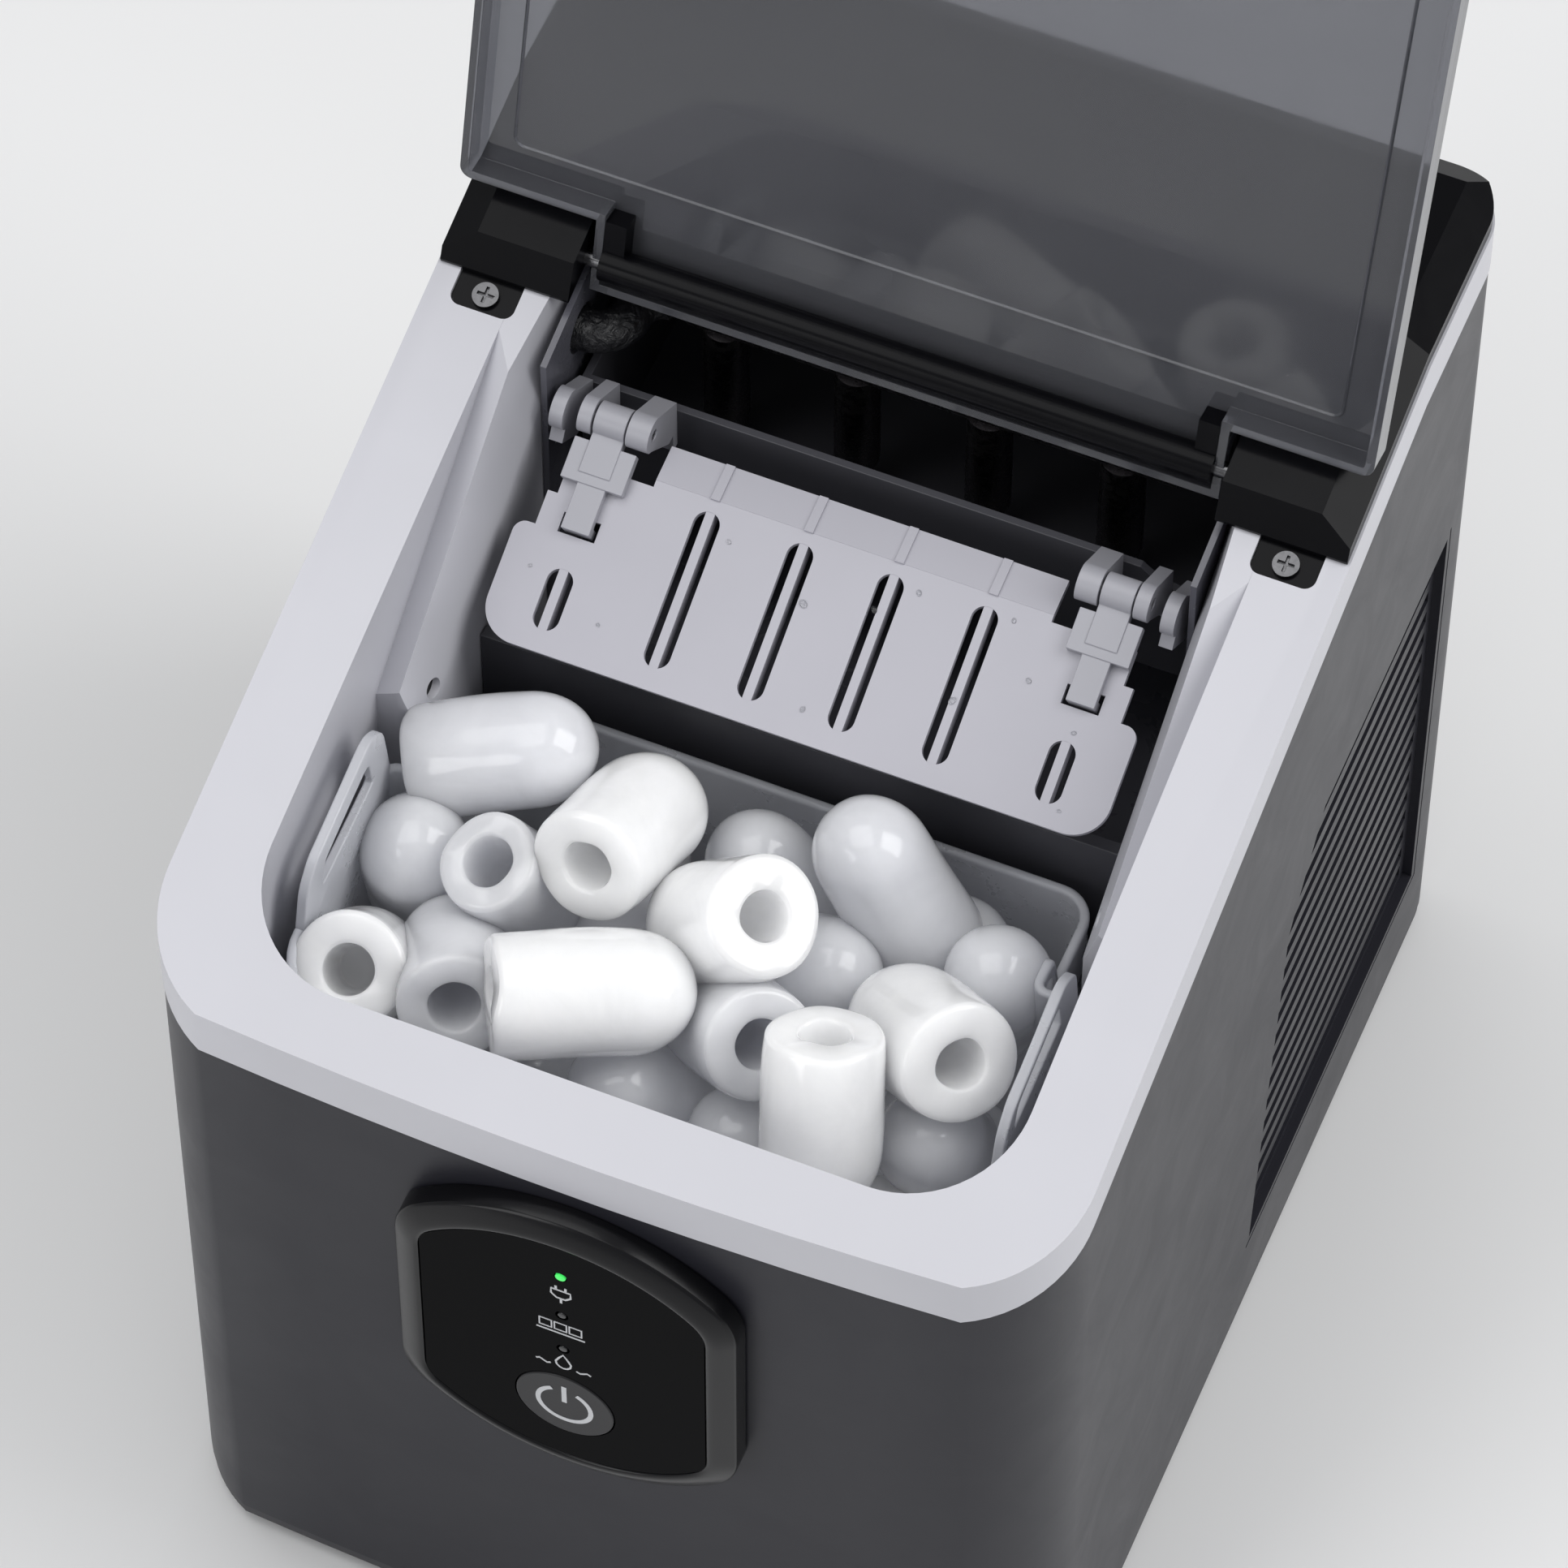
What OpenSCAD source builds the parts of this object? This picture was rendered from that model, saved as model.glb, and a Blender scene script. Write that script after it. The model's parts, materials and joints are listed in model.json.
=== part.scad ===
/* [Body] */
// Width of the body
body_w = 224; // [220:1:228]
// Depth of the body
body_d = 290; // [288:1:296]
// Height of the rim's top edge at the front face
rim_h = 232.4; // [228:0.2:236]
// Slope of the rim plane, rising to the rear
rim_tilt = 14; // [13:0.5:15]
// Radius of the front corners
front_r = 33; // [30:1:36]
// Radius of the rear corners
rear_r = 14; // [12:1:16]
// Radius of the slight outward bow of the front face
bow_r = 1500; // [1200:100:3000]
// Height of the light rim band, square to the rim plane
band_h = 14.5; // [12:0.5:16]
// Thickness of the outer skins
skin_t = 2.2; // [1.8:0.1:2.4]

/* [Lid] */
// Angle the lid stands open from closed
lid_open = 118; // [100:1:120]
// Height of the lid tray over its free edge
lid_t = 8; // [7:0.5:8]
// Wall of the lid
lid_wall = 2.2; // [1.8:0.1:2.6]
// Radius of the lid's hinge pins
lid_pin_r = 2; // [1.5:0.1:2.2]

/* [Ice making] */
// Angle of the ice shovel over the horizontal
shovel_tilt = 25.3; // [24:0.1:26]
// Half width of the shovel's lower part
shovel_hw = 77; // [75:0.5:78]
// Pitch of the evaporator fingers across the width
finger_pitch = 33; // [32:0.5:33]
// Radius of an evaporator finger
finger_r = 5.5; // [4.8:0.1:5.8]
// Radius of the tray's pivot pins
tray_pin_r = 3; // [2.5:0.1:3.5]

/* [Controls] */
// Half width of the control panel's face
panel_hw = 35; // [33:0.5:36]
// Radius of the control panel's curved ends
panel_r = 46.2; // [45:0.2:47]
// Radius of the power button
button_r = 12.2; // [10:0.2:13]
// Height of the middle of the control panel
panel_z = 159.2; // [158:0.2:161]

/* [Hidden] */
$fn = 64;

hw = body_w/2;
tt = tan(rim_tilt);
ct = cos(rim_tilt);
y_bend = 236;              // the rim turns level here
y_mid = 142.25;            // middle of the whole depth, bezel to drain plug
z_base = 8;
shell_i = 0.3;             // shell set in from the rim band
lid_v = 203; lid_w = 2;    // hinge axis in rim coordinates
tray_y = 236; tray_z = 256;        // tray pivot axis
sh_y = 145.4; sh_z = 242.2;        // middle of the shovel plate
pin_s = 31.5; pin_n = 2.5;         // shovel pin axis in plate coordinates
fan_y = 212; fan_z = 88;
cab = 0.3;                 // clearance between pieces
c_silver = [0.80,0.80,0.82]; c_dark = [0.26,0.26,0.28]; c_black = [0.05,0.05,0.06];
c_grey = [0.70,0.70,0.73]; c_copper = [0.72,0.42,0.26]; c_steel = [0.62,0.63,0.65];

module place() { translate([0,-y_mid,0]) children(); }
// rim coordinates: x across, y up the slope from the front face, z square to the rim plane
module rimspace() { translate([0,0,rim_h]) rotate([rim_tilt,0,0]) children(); }
module lidspace() { rimspace() translate([0,lid_v,lid_w]) rotate([-lid_open,0,0]) translate([0,-lid_v,-lid_w]) children(); }
// shovel coordinates: x across, y up the plate, z square to the plate
module shovelspace() { translate([0,sh_y,sh_z]) rotate([shovel_tilt,0,0]) children(); }
module both() { children(); mirror([1,0,0]) children(); }
// box from low to high corner
module bx(a,b) { translate(a) cube([b[0]-a[0],b[1]-a[1],b[2]-a[2]]); }
// cylinder along X from x0 to x1
module cx(x0,x1,y,z,r) { translate([x0,y,z]) rotate([0,90,0]) cylinder(r=r,h=x1-x0); }
module cy(x,y0,y1,z,r) { translate([x,y0,z]) rotate([-90,0,0]) cylinder(r=r,h=y1-y0); }
module cz(x,y,z0,z1,r) { translate([x,y,z0]) cylinder(r=r,h=z1-z0); }
// polygon of [y,z] points swept along X
module px(x0,x1,pts) { translate([x0,0,0]) rotate([90,0,90]) linear_extrude(height=x1-x0) polygon(pts); }
// rounded rectangle, |x| < w, y0..y1, front radius rf, rear radius rr
module rrect(w,y0,y1,rf,rr) {
  translate([-w,y0+rf]) square([2*w,y1-y0-rf-rr]);
  translate([-w+rf,y0]) square([2*w-2*rf,rf+0.01]);
  translate([-w+rr,y1-rr-0.01]) square([2*w-2*rr,rr+0.01]);
  for (s=[-1,1]) { translate([s*(w-rf),y0+rf]) circle(r=rf,$fn=96); translate([s*(w-rr),y1-rr]) circle(r=rr,$fn=96); }
}
module outline(i) {
  intersection() {
    rrect(hw-i,i,body_d-i,front_r-i,rear_r-i);
    translate([0,bow_r]) circle(r=bow_r-i,$fn=720);
  }
}
// everything under the rim surface lowered by off (square to the plane)
module under(off) {
  d = off/ct;
  px(-160,160,[[-40,-10],[-40,rim_h-40*tt-d],[y_bend,rim_h+y_bend*tt-d],[340,rim_h+y_bend*tt-d],[340,-10]]);
}
module over(off) {
  d = off/ct;
  px(-160,160,[[-40,400],[-40,rim_h-40*tt-d],[y_bend,rim_h+y_bend*tt-d],[340,rim_h+y_bend*tt-d],[340,400]]);
}
module slot2(x,y,l,w) { // slot along y
  translate([x-w/2,y-(l-w)/2]) square([w,l-w]);
  for (s=[-1,1]) translate([x,y+s*(l-w)/2]) circle(r=w/2,$fn=32);
}

// ---------- casing ----------
feet = [[-82,32],[82,32],[-88,268],[88,268]];
module base_pan() place() color(c_dark) difference() {
  union() {
    translate([0,0,5]) linear_extrude(height=3) outline(0.6);
    translate([0,0,7.9]) linear_extrude(height=14) difference() { outline(skin_t+0.6); outline(skin_t+2.8); }
    for (x=[-96.5,94.5],y=[60,200]) bx([x,y,7],[x+2,y+40,16]);
  }
  for (x=[-60:12:60]) translate([0,0,4]) linear_extrude(height=5) slot2(x,110,40,4);
  for (f=feet) cz(f[0],f[1],4,9,2.5);
  bx([-103,283.5,8.01],[103,295,30]); // seat of the rear panel
}
module rubber_feet() place() color(c_black) for (f=feet) {
  cz(f[0],f[1],0,5,10);
  cz(f[0],f[1],4.9,9,2.3);
  cz(f[0],f[1],8,10,3.6);
}
grille_y0 = 152; grille_y1 = 270; grille_z0 = 36; slat_p = 8.6; n_slat = 17;
module grille_window(i) // side window outline, extruded along X by the caller
  px(-130,130,[[grille_y0-1+i,grille_z0-3+i],[grille_y1-i,grille_z0-3+i],[grille_y1-i,grille_z0+n_slat*slat_p+2-i],
    [grille_y0+31+i,grille_z0+n_slat*slat_p+2-i],[grille_y0+15+i,grille_z0+14.6*slat_p],[grille_y0+10.6+i,grille_z0+13.8*slat_p]]);
module body_shell() place() color(c_dark) difference() {
  intersection() {
    translate([0,0,z_base+0.3]) linear_extrude(height=320) difference() { outline(shell_i); outline(shell_i+skin_t); }
    under(band_h+0.2);
  }
  grille_window(0);
  bx([-97,270,-1],[97,300,400]);
  // panel seat in the front face
  for (s=[-1,1]) cy(s*30,-5,8,panel_z,3);
  cy(0,-5,8,136.3,9);
  cy(0,-5,8,193,3); cy(0,-5,8,176,3); cy(0,-5,8,161,3);
}
module side_grille() color(c_dark) difference() {
  union() {
    intersection() { bx([106.8,0,0],[109.1,300,300]); grille_window(-3); }
    intersection() { bx([106.8,0,0],[111.6,300,300]); difference() { grille_window(0.3); grille_window(2.2); } }
  }
  for (k=[0:n_slat-1]) {
    z = grille_z0+(k+0.5)*slat_p;
    y0 = k<14 ? grille_y0+4+k*0.8 : grille_y0+19+(k-14)*6;
    bx([105,y0,z-2.2],[120,grille_y1-5,z+2.2]);
  }
}
module side_vent_grille_right() place() side_grille();
module side_vent_grille_left() place() mirror([1,0,0]) side_grille();
module rear_panel() place() color(c_dark) difference() {
  intersection() {
    union() {
      bx([-101,284.9,z_base+0.5],[101,287.1,400]);
      bx([-96.6,286,z_base+0.5],[96.6,289.4,400]);
    }
    under(band_h+0.4);
  }
  for (k=[0:13]) bx([-70,280,40+k*9],[30,300,44.5+k*9]);
  cy(70,280,300,40,9.2);
  cy(70,280,300,75,9.3);
  cy(70,280,284.91,75,11);
  for (s=[-1,1],z=[24,130,250]) cy(s*90,280,300,z,1.7);
  for (s=[-1,1],z=[24,130,250]) cy(s*90,288,300,z,3.4);
}
module rear_panel_screws() place() color(c_steel) for (s=[-1,1],z=[24,130,250]) difference() {
  union() { cy(s*90,284.2,289,z,1.6); cy(s*90,288,289.3,z,3.1); }
  bx([s*90-2,288.7,z-0.4],[s*90+2,290,z+0.4]); bx([s*90-0.4,288.7,z-2],[s*90+0.4,290,z+2]);
}

// ---------- tub and rim ----------
cav_y0 = 17; cav_y1 = 281; cav_r = 28;
step_y = 137.6; // the tub steps up here
module cavity(i) rrect(92+i,cav_y0-i,cav_y1+i,cav_r+i,3); // inner plan of the tub, i outwards
// everything over the plane z = z0 + a (x-x0) + b (y-y0), lowered by d square to the plane
module half(x0,y0,z0,a,b,d) translate([x0,y0,z0])
  rotate([asin(b/sqrt(1+a*a+b*b)),-atan(a),0]) translate([-400,-400,-d]) cube([800,800,400]);
// cheek beside the chamber: a ridge rising to the rear, falling steeply inwards and gently to the wall; i inwards
ck_x = 81; ck_y = 101; ck_r = 6;
module cheek_plan(i) {
  e = i>0 ? 0 : 0.6;
  intersection() {
    union() {
      translate([ck_x+i,ck_y+ck_r]) square([92-ck_x-i+e,cav_y1-i-ck_y-ck_r+e]);
      translate([ck_x+ck_r,ck_y+i]) square([92-ck_x-ck_r+e,ck_r-i+0.01]);
      translate([ck_x+ck_r,ck_y+ck_r]) circle(r=ck_r-i);
    }
    translate([ck_x-1,ck_y-1]) square([93-ck_x+e,200]);
  }
}
module cheek(i) intersection() {
  difference() {
    translate([0,0,100]) linear_extrude(height=230) cheek_plan(i);
    half(86,104,233.1,4.4,0.655,i*0.85);
    half(92,104,229.5,-0.6,0.655,i*0.85);
  }
  under(0.1+i*1.2);
}
module tab_pocket(g,d) rimspace() for (s=[-1,1]) translate([0,0,-d]) linear_extrude(height=d+2) {
  translate([s*98.3-7.6-g,185.5]) square([15.2+2*g,13]);
  translate([s*98.3-5.1,183-g]) square([10.2,6]);
  for (t=[-1,1]) translate([s*98.3+t*5.1,185.5]) circle(r=2.5+g,$fn=32);
}
module tub_liner() place() color(c_silver) difference() {
  union() {
    intersection() { // top plate and outer band
      linear_extrude(height=330) difference() { outline(0); cavity(0); }
      intersection() { under(0); over(3); }
    }
    intersection() {
      linear_extrude(height=330) difference() { outline(0); outline(skin_t+0.3); }
      intersection() { under(0); over(band_h); }
    }
    intersection() { // walls of the tub
      translate([0,0,107]) linear_extrude(height=220) difference() { cavity(2.6); cavity(0); }
      under(0.1);
      union() { bx([-120,0,100],[120,step_y+2.6,330]); bx([-120,step_y+1,168],[120,300,330]); }
    }
    translate([0,0,107]) linear_extrude(height=3) intersection() { cavity(1); translate([-120,0]) square([240,step_y+2.6]); }
    translate([0,0,168]) linear_extrude(height=3) intersection() { cavity(1); translate([-120,step_y]) square([240,160]); }
    bx([-93,step_y,107.5],[93,step_y+2.6,170.5]);
    both() intersection() { cheek(0); union() { bx([0,0,107],[120,step_y+2.6,330]); bx([0,step_y,168],[120,300,330]); } }
    // basket ledges
    for (s=[-1,1],y=[40,120]) bx([s*78-9,y-8,109],[s*78+9,y+8,127.7]);
    // bosses under the screw tabs
    rimspace() for (s=[-1,1]) bx([s*98.3-9.5,181,-9],[s*98.3+9.5,199,-2]);
  }
  both() cheek(2.5);
  tab_pocket(cab,3);
  rimspace() for (s=[-1,1]) translate([s*98.3,187,-9.5]) cylinder(r=1.5,h=12);
  // tray pivots, drive shaft and tube passages
  cx(-100,-70,tray_y,tray_z,tray_pin_r+0.08);
  cx(70,100,tray_y,tray_z,tray_pin_r+0.08);
  cx(-100,-70,192,262,5.5);
  cx(-100,-70,268,262,3.3);
  cx(-86.5,-80,111.2,221.5,2.6); cx(80,86.5,111.2,221.5,2.6);
  cz(40,90,100,115,6.3);
  cy(70,130,150,122,6.3);
}
module tub_insulation() place() color([0.93,0.93,0.90]) difference() {
  translate([0,0,96]) linear_extrude(height=118) intersection() {
    difference() { outline(4.2); cavity(3.0); }
    translate([-120,-1]) square([240,140]);
  }
  bx([-36,-2,100],[36,10,220]);
}
module chamber_liner() place() color(c_black) difference() {
  union() {
    for (s=[-1,1]) difference() {
      bx([min(s*79.2,s*80.7),172,171.3],[max(s*79.2,s*80.7),280.7,290]);
    }
    bx([-80.7,279.3,171.3],[80.7,280.7,290]);
    bx([-80.7,141,171.3],[80.7,280.7,172.8]);
  }
  over(4);
  cx(-100,-70,tray_y,tray_z,tray_pin_r+1); cx(70,100,tray_y,tray_z,tray_pin_r+1);
  cx(-100,-70,192,262,6.5); cx(-100,-70,268,262,4);
}
module chamber_partition() place() color([0.16,0.16,0.18]) difference() {
  union() {
    bx([-80.6,134,110.3],[80.6,step_y-0.2,213.5]);
    bx([-80.6,134,172],[80.6,step_y+3,196]);
  }
  cy(70,120,150,122,6.4);
  for (x=[-60:15:60]) bx([x-5,130,112],[x+5,150,117]);
}

// ---------- rear cover ----------
cov_t = 9.6;
module cov_section(i) polygon([[-hw+0.6+i,-1],[-hw+0.6+i,4.2-i*0.4],[-hw+8.6+i,cov_t-i],[hw-8.6-i,cov_t-i],[hw-0.6-i,4.2-i*0.4],[hw-0.6-i,-1]]);
module cov_body(i) {
  intersection() {
    rimspace() intersection() {
      rotate([90,0,0]) mirror([0,0,1]) linear_extrude(height=300) cov_section(i);
      px(-130,130,[[191.5+i,-1],[191.5+i,1.2],[197.6+i,cov_t],[320,cov_t],[320,-1]]);
    }
    bx([-130,150,0],[130,y_bend+0.01,400]);
  }
  intersection() {
    translate([0,y_bend,rim_h+y_bend*tt]) rotate([90,0,0]) mirror([0,0,1]) linear_extrude(height=60) polygon([for (p=[[-hw+0.6+i,-1],[-hw+0.6+i,4.2-i*0.4],[-hw+8.6+i,cov_t-i],[hw-8.6-i,cov_t-i],[hw-0.6-i,4.2-i*0.4],[hw-0.6-i,-1]]) [p[0],p[1]/ct]]);
    linear_extrude(height=400) outline(0.6+i);
    px(-130,130,[[200,200],[200,400],[body_d-8.6-i,rim_h+y_bend*tt+cov_t/ct-i*0],[body_d-0.6-i,rim_h+y_bend*tt+4.2/ct],[body_d-0.6-i,200]]);
  }
}
module rear_top_cover() place() color(c_black) difference() {
  union() {
    difference() {
      intersection() { cov_body(0); over(-0.2); }
      difference() {
        intersection() { cov_body(2.2); over(5); }
        rimspace() bx([-81.6,180,-20],[81.6,217.2,20]);
      }
    }
    difference() {
      intersection() { tab_pocket(0,2.6); rimspace() bx([-130,170,-10],[130,198,0.9]); }
      rimspace() bx([-130,170,-0.8],[130,191.4,5]);
    }
  }
  rimspace() bx([-79.4,180,-5],[79.4,215,20]);
  rimspace() cx(-90,90,lid_v,lid_w,lid_pin_r+0.08);
  rimspace() for (s=[-1,1]) translate([s*98.3,187,-9.5]) cylinder(r=1.7,h=12);
}
module cover_screws() place() color(c_steel) rimspace() for (s=[-1,1]) difference() {
  union() { translate([s*98.3,187,-8.6]) cylinder(r=1.45,h=8); translate([s*98.3,187,-0.75]) cylinder(r=3.2,h=1.15); }
  translate([s*98.3,187,0]) { bx([-2,-0.35,-0.5],[2,0.35,2]); bx([-0.35,-2,-0.5],[0.35,2,2]); }
}

// ---------- controls ----------
module panel2(w,r) intersection() { square([2*w,2*r+10],center=true); circle(r=r,$fn=180); }
module stand(y0,y1) translate([0,y1,panel_z]) rotate([90,0,0]) linear_extrude(height=y1-y0) children();
module ring_step(n,k) { // one fine step of the bevelled ring
  i = 6.2*(k+0.5)/n;
  stand(-5-2.5*(k+1)/n,0.25) panel2(panel_hw+7-i,panel_r+7.3-i);
}
module control_bezel() place() color([0.14,0.14,0.15]) difference() {
  union() {
    stand(-5,0.25) panel2(panel_hw+7,panel_r+7.3);
    for (k=[0:5]) ring_step(6,k);
    for (s=[-1,1]) cy(s*30,-1,6,panel_z,2.7);
  }
  stand(-20,-2.5) panel2(panel_hw+0.2,panel_r+0.2);
  cy(0,-20,20,136.3,button_r+0.3);
  for (z=[193,176,161]) cy(0,-5,8,z,2.2);
}
module control_panel() place() color([0.03,0.03,0.035]) difference() {
  stand(-7,-2.6) panel2(panel_hw,panel_r);
  cy(0,-20,5,136.3,button_r+0.3);
  for (z=[193,176,161]) cy(0,-20,5,z,1.6);
}
module indicator_lights() place() color([0.2,0.8,0.3]) for (z=[193,176,161]) cy(0,-7.1,-1,z,1.45);
module power_button() place() color([0.2,0.2,0.21]) {
  cy(0,-7.3,-5,136.3,button_r);
  cy(0,-5.1,3.2,136.3,4);
}
module power_switch() place() color(c_black) { bx([-5,4.6,131.3],[5,8.4,141.3]); cy(0,4.4,4.7,136.3,3); }
module control_board() place() color([0.08,0.35,0.18]) difference() {
  bx([-30,8.4,124],[30,10,204]);
  for (s=[-1,1]) cy(s*24,8,11,130,1.5);
}

// ---------- ice-making chamber ----------
module ice_sensor_emitter() place() color(c_black) { cx(-86,-83.5,111.2,221.5,2.3); cx(-89.6,-85.9,111.2,221.5,4.5); }
module ice_sensor_receiver() place() color(c_black) { cx(83.5,86,111.2,221.5,2.3); cx(85.9,89.6,111.2,221.5,4.5); }
row_y = [208,234];
module fingers_at(r,dz) {
  for (k=[-1.5:1:1.5]) translate([k*finger_pitch,row_y[0],0]) children();
  for (k=[-2:1:2]) translate([k*finger_pitch,row_y[1],0]) children();
}
module evaporator_fingers() place() color([0.35,0.33,0.32]) difference() {
  fingers_at(0,0) { cz(0,0,220+finger_r,259,finger_r); translate([0,0,220+finger_r]) sphere(r=finger_r); }
  for (y=row_y) cx(-90,90,y,262,4.77);
  cy(59,200,240,262,3.55);
}
// quarter bend in a plane facing Z, centre (x,y), starting at angle a
module qb(x,y,z,R,r,a) translate([x,y,z]) rotate([0,0,a]) intersection() {
  rotate_extrude($fn=96) translate([R,0]) circle(r=r,$fn=40);
  translate([0,0,-r-1]) cube([R+r+1,R+r+1,2*r+2]);
}
// quarter bend from the -X run down, centre (x,z)
module qd(x,y,z,R,r) translate([x,y,z]) rotate([90,0,0]) rotate([0,0,90]) intersection() {
  rotate_extrude($fn=96) translate([R,0]) circle(r=r,$fn=40);
  translate([0,0,-r-1]) cube([R+r+1,R+r+1,2*r+2]);
}
module evaporator_manifold() place() color(c_copper) {
  cx(-58,64,row_y[0],262,4.75);
  cx(-72,72,row_y[1],262,4.75);
  cy(59,row_y[0],row_y[1],262,3.5);
}
module evaporator_bracket() place() color(c_black) {
  bx([-78.6,200,268.2],[78.6,246,270.2]);
  for (x=[-50,46],y=row_y) bx([x-2,y-6,262.5],[x+2,y-5,268.3]);
}
module feed_path(r,e) {
  qb(-62,200,262,8,r,90);
  qb(-78,200,262,8,r,-90);
  cx(-94,-78,192,262,r);
  qd(-94,192,256,6,r);
  cz(-100,192,e,256,r);
}
module feed_tube() place() color(c_copper) {
  cx(-62,-58.01,208,262,2.6);
  feed_path(2.6,60);
}
module suction_tube() place() color(c_copper) {
  cy(-50,238.76,260,262,3);
  qb(-58,260,262,8,3,0);
  cx(-94,-58,268,262,3);
  qd(-94,268,256,6,3);
  cz(-100,268,100,256,3);
}
module tube_insulation() place() color([0.03,0.03,0.03]) {
  difference() { qb(-62,200,262,8,5.2,90); qb(-62,200,262,8,2.7,90); }
  difference() { qb(-78,200,262,8,5.2,-90); qb(-78,200,262,8,2.7,-90); }
  difference() { cx(-94,-78,192,262,5.2); cx(-95,-77,192,262,2.7); }
  difference() { qd(-94,192,256,6,5.2); qd(-94,192,256,6,2.7); }
  difference() { cz(-100,192,150,256,5.2); cz(-100,192,149,257,2.7); }
}

// ---------- machinery ----------
cmp_x = -46; cmp_y = 222;
module compressor_shell() place() color([0.10,0.10,0.11]) {
  cz(cmp_x,cmp_y,30,118,44);
  translate([cmp_x,cmp_y,118]) intersection() { translate([0,0,-26]) sphere(r=51.1,$fn=96); cylinder(r=44,h=60,$fn=96); }
  cz(cmp_x,cmp_y,21,30.1,38);
  cz(cmp_x,cmp_y,72,75,46);
}
module compressor_base_plate() place() color(c_steel) difference() {
  bx([cmp_x-46,cmp_y-46,18.4],[cmp_x+46,cmp_y+46,20.9]);
  for (s=[-1,1],t=[-1,1]) cz(cmp_x+s*36,cmp_y+t*36,15,25,4.2);
}
module compressor_grommets() place() color(c_black) for (s=[-1,1],t=[-1,1]) difference() {
  union() { cz(cmp_x+s*36,cmp_y+t*36,8.1,18.3,7); cz(cmp_x+s*36,cmp_y+t*36,18.2,23,4.1); }
  cz(cmp_x+s*36,cmp_y+t*36,12,30,2);
}
module compressor_terminal_cover() place() color(c_black) difference() {
  bx([cmp_x-16,cmp_y-58,50],[cmp_x+16,cmp_y-30,92]);
  cz(cmp_x,cmp_y,40,100,46.2);
}
module discharge_tube() place() color(c_copper) {
  cz(14,178,120,150,3);
  translate([14,186,150]) rotate([0,-90,0]) rotate([0,0,-90]) intersection() {
    rotate_extrude($fn=96) translate([8,0]) circle(r=3,$fn=40);
    translate([0,0,-5]) cube([30,30,10]);
  }
  cy(14,186,246,158,3);
}
module filter_drier() place() color(c_copper) { cz(14,178,62,112,9); cz(14,178,111.9,119.9,4.5); cz(14,178,54,62.1,4.5); }
module hot_gas_valve() place() color([0.15,0.2,0.45]) { bx([4,162,24],[30,188,44]); cz(17,175,43.9,53.9,7); }
module ub(y,z,up) translate([93,y,z]) rotate([0,90,0]) intersection() {
  rotate_extrude($fn=96) translate([8,0]) circle(r=3,$fn=40);
  translate([up?-20:-0.03,-20,-5]) cube([20.03,40,10]);
}
module condenser_coil() place() color(c_copper) {
  for (y=[172,188,204,220,236,252]) cz(93,y,34,146,3);
  for (y=[180,212,244]) ub(y,146,true);
  for (y=[196,228]) ub(y,34,false);
}
module condenser_fins() place() color([0.75,0.76,0.78]) difference() {
  for (k=[0:25]) bx([84,163,36+k*4.2],[103,262,36.8+k*4.2]);
  for (y=[172,188,204,220,236,252]) cz(93,y,30,150,3.02);
}
module fan_shroud() place() color(c_black) difference() {
  union() {
    bx([64,163,34],[66.5,262,146]);
    cx(64,80,fan_y,fan_z,50);
  }
  cx(60,90,fan_y,fan_z,47.5);
}
module fan_motor() place() color([0.3,0.3,0.32]) {
  cx(34,56,fan_y,fan_z,19);
  cx(55.9,66,fan_y,fan_z,3);
  for (a=[0,90,180,270]) translate([0,fan_y,fan_z]) rotate([a+45,0,0]) bx([63,0,-4],[63.9,56,4]);
  for (a=[0,90,180,270]) translate([0,fan_y,fan_z]) rotate([a+45,0,0]) bx([50,14,-4],[63.5,18.5,4]);
}
module fan_blade() place() color([0.85,0.85,0.84]) {
  difference() { cx(64.5,78,fan_y,fan_z,13); cx(60,67,fan_y,fan_z,3.06); }
  for (k=[0:6]) translate([71,fan_y,fan_z]) rotate([k*360/7,0,0]) intersection() {
    rotate([0,32,0]) bx([-0.9,10,-11],[0.9,60,11]);
    bx([-6,10,-11],[6,60,11]);
    translate([-10,0,0]) rotate([0,90,0]) cylinder(r=45.5,h=20,$fn=96);
  }
}
module water_pump() place() color(c_black) { cz(40,90,60,96,17); cz(40,90,95.9,106,9); cz(40,90,105.9,112,6); cx(56,70,90,70,4.5); }
module pump_hose() place() color([0.75,0.78,0.8]) {
  cx(70.1,92,90,70,4.4);
  translate([92,90,78]) rotate([90,0,0]) rotate([0,0,-90]) intersection() {
    rotate_extrude($fn=96) translate([8,0]) circle(r=4.4,$fn=40);
    translate([0,0,-5]) cube([30,30,10]);
  }
  cz(100,90,78,94,4.4);
}
module tilt_gearmotor() place() color([0.2,0.2,0.22]) difference() {
  bx([95.2,212,228],[107,262,276]);
  cx(80,104,tray_y,tray_z,tray_pin_r+0.3);
}
module main_circuit_board() place() {
  color([0.08,0.35,0.18]) bx([-70,40,26],[10,120,27.6]);
  color(c_black) { bx([-60,50,27.5],[-35,75,50]); bx([-20,50,27.5],[0,70,44]); bx([-60,90,27.5],[-30,108,42]); }
  color(c_steel) for (x=[-66,6],y=[44,116]) cz(x,y,8.1,26.1,3);
}
module drain_port() place() color(c_dark) difference() {
  union() { cy(70,284,290.2,40,9); cy(70,276,284.1,40,6.5); }
  cy(70,270,295,40,4.3);
}
module drain_plug() place() color(c_black) { cy(70,279,290.3,40,4); cy(70,290.25,291.2,40,7); bx([68.8,291.1,35],[71.2,292,45]); }
module cord_gland() place() color(c_black) difference() {
  union() { cy(70,283.1,289.4,75,9); cy(70,289.4,291.8,75,10.5); cy(70,282,283.1,75,10.5); }
  cy(70,270,300,75,3.8);
}

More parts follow.
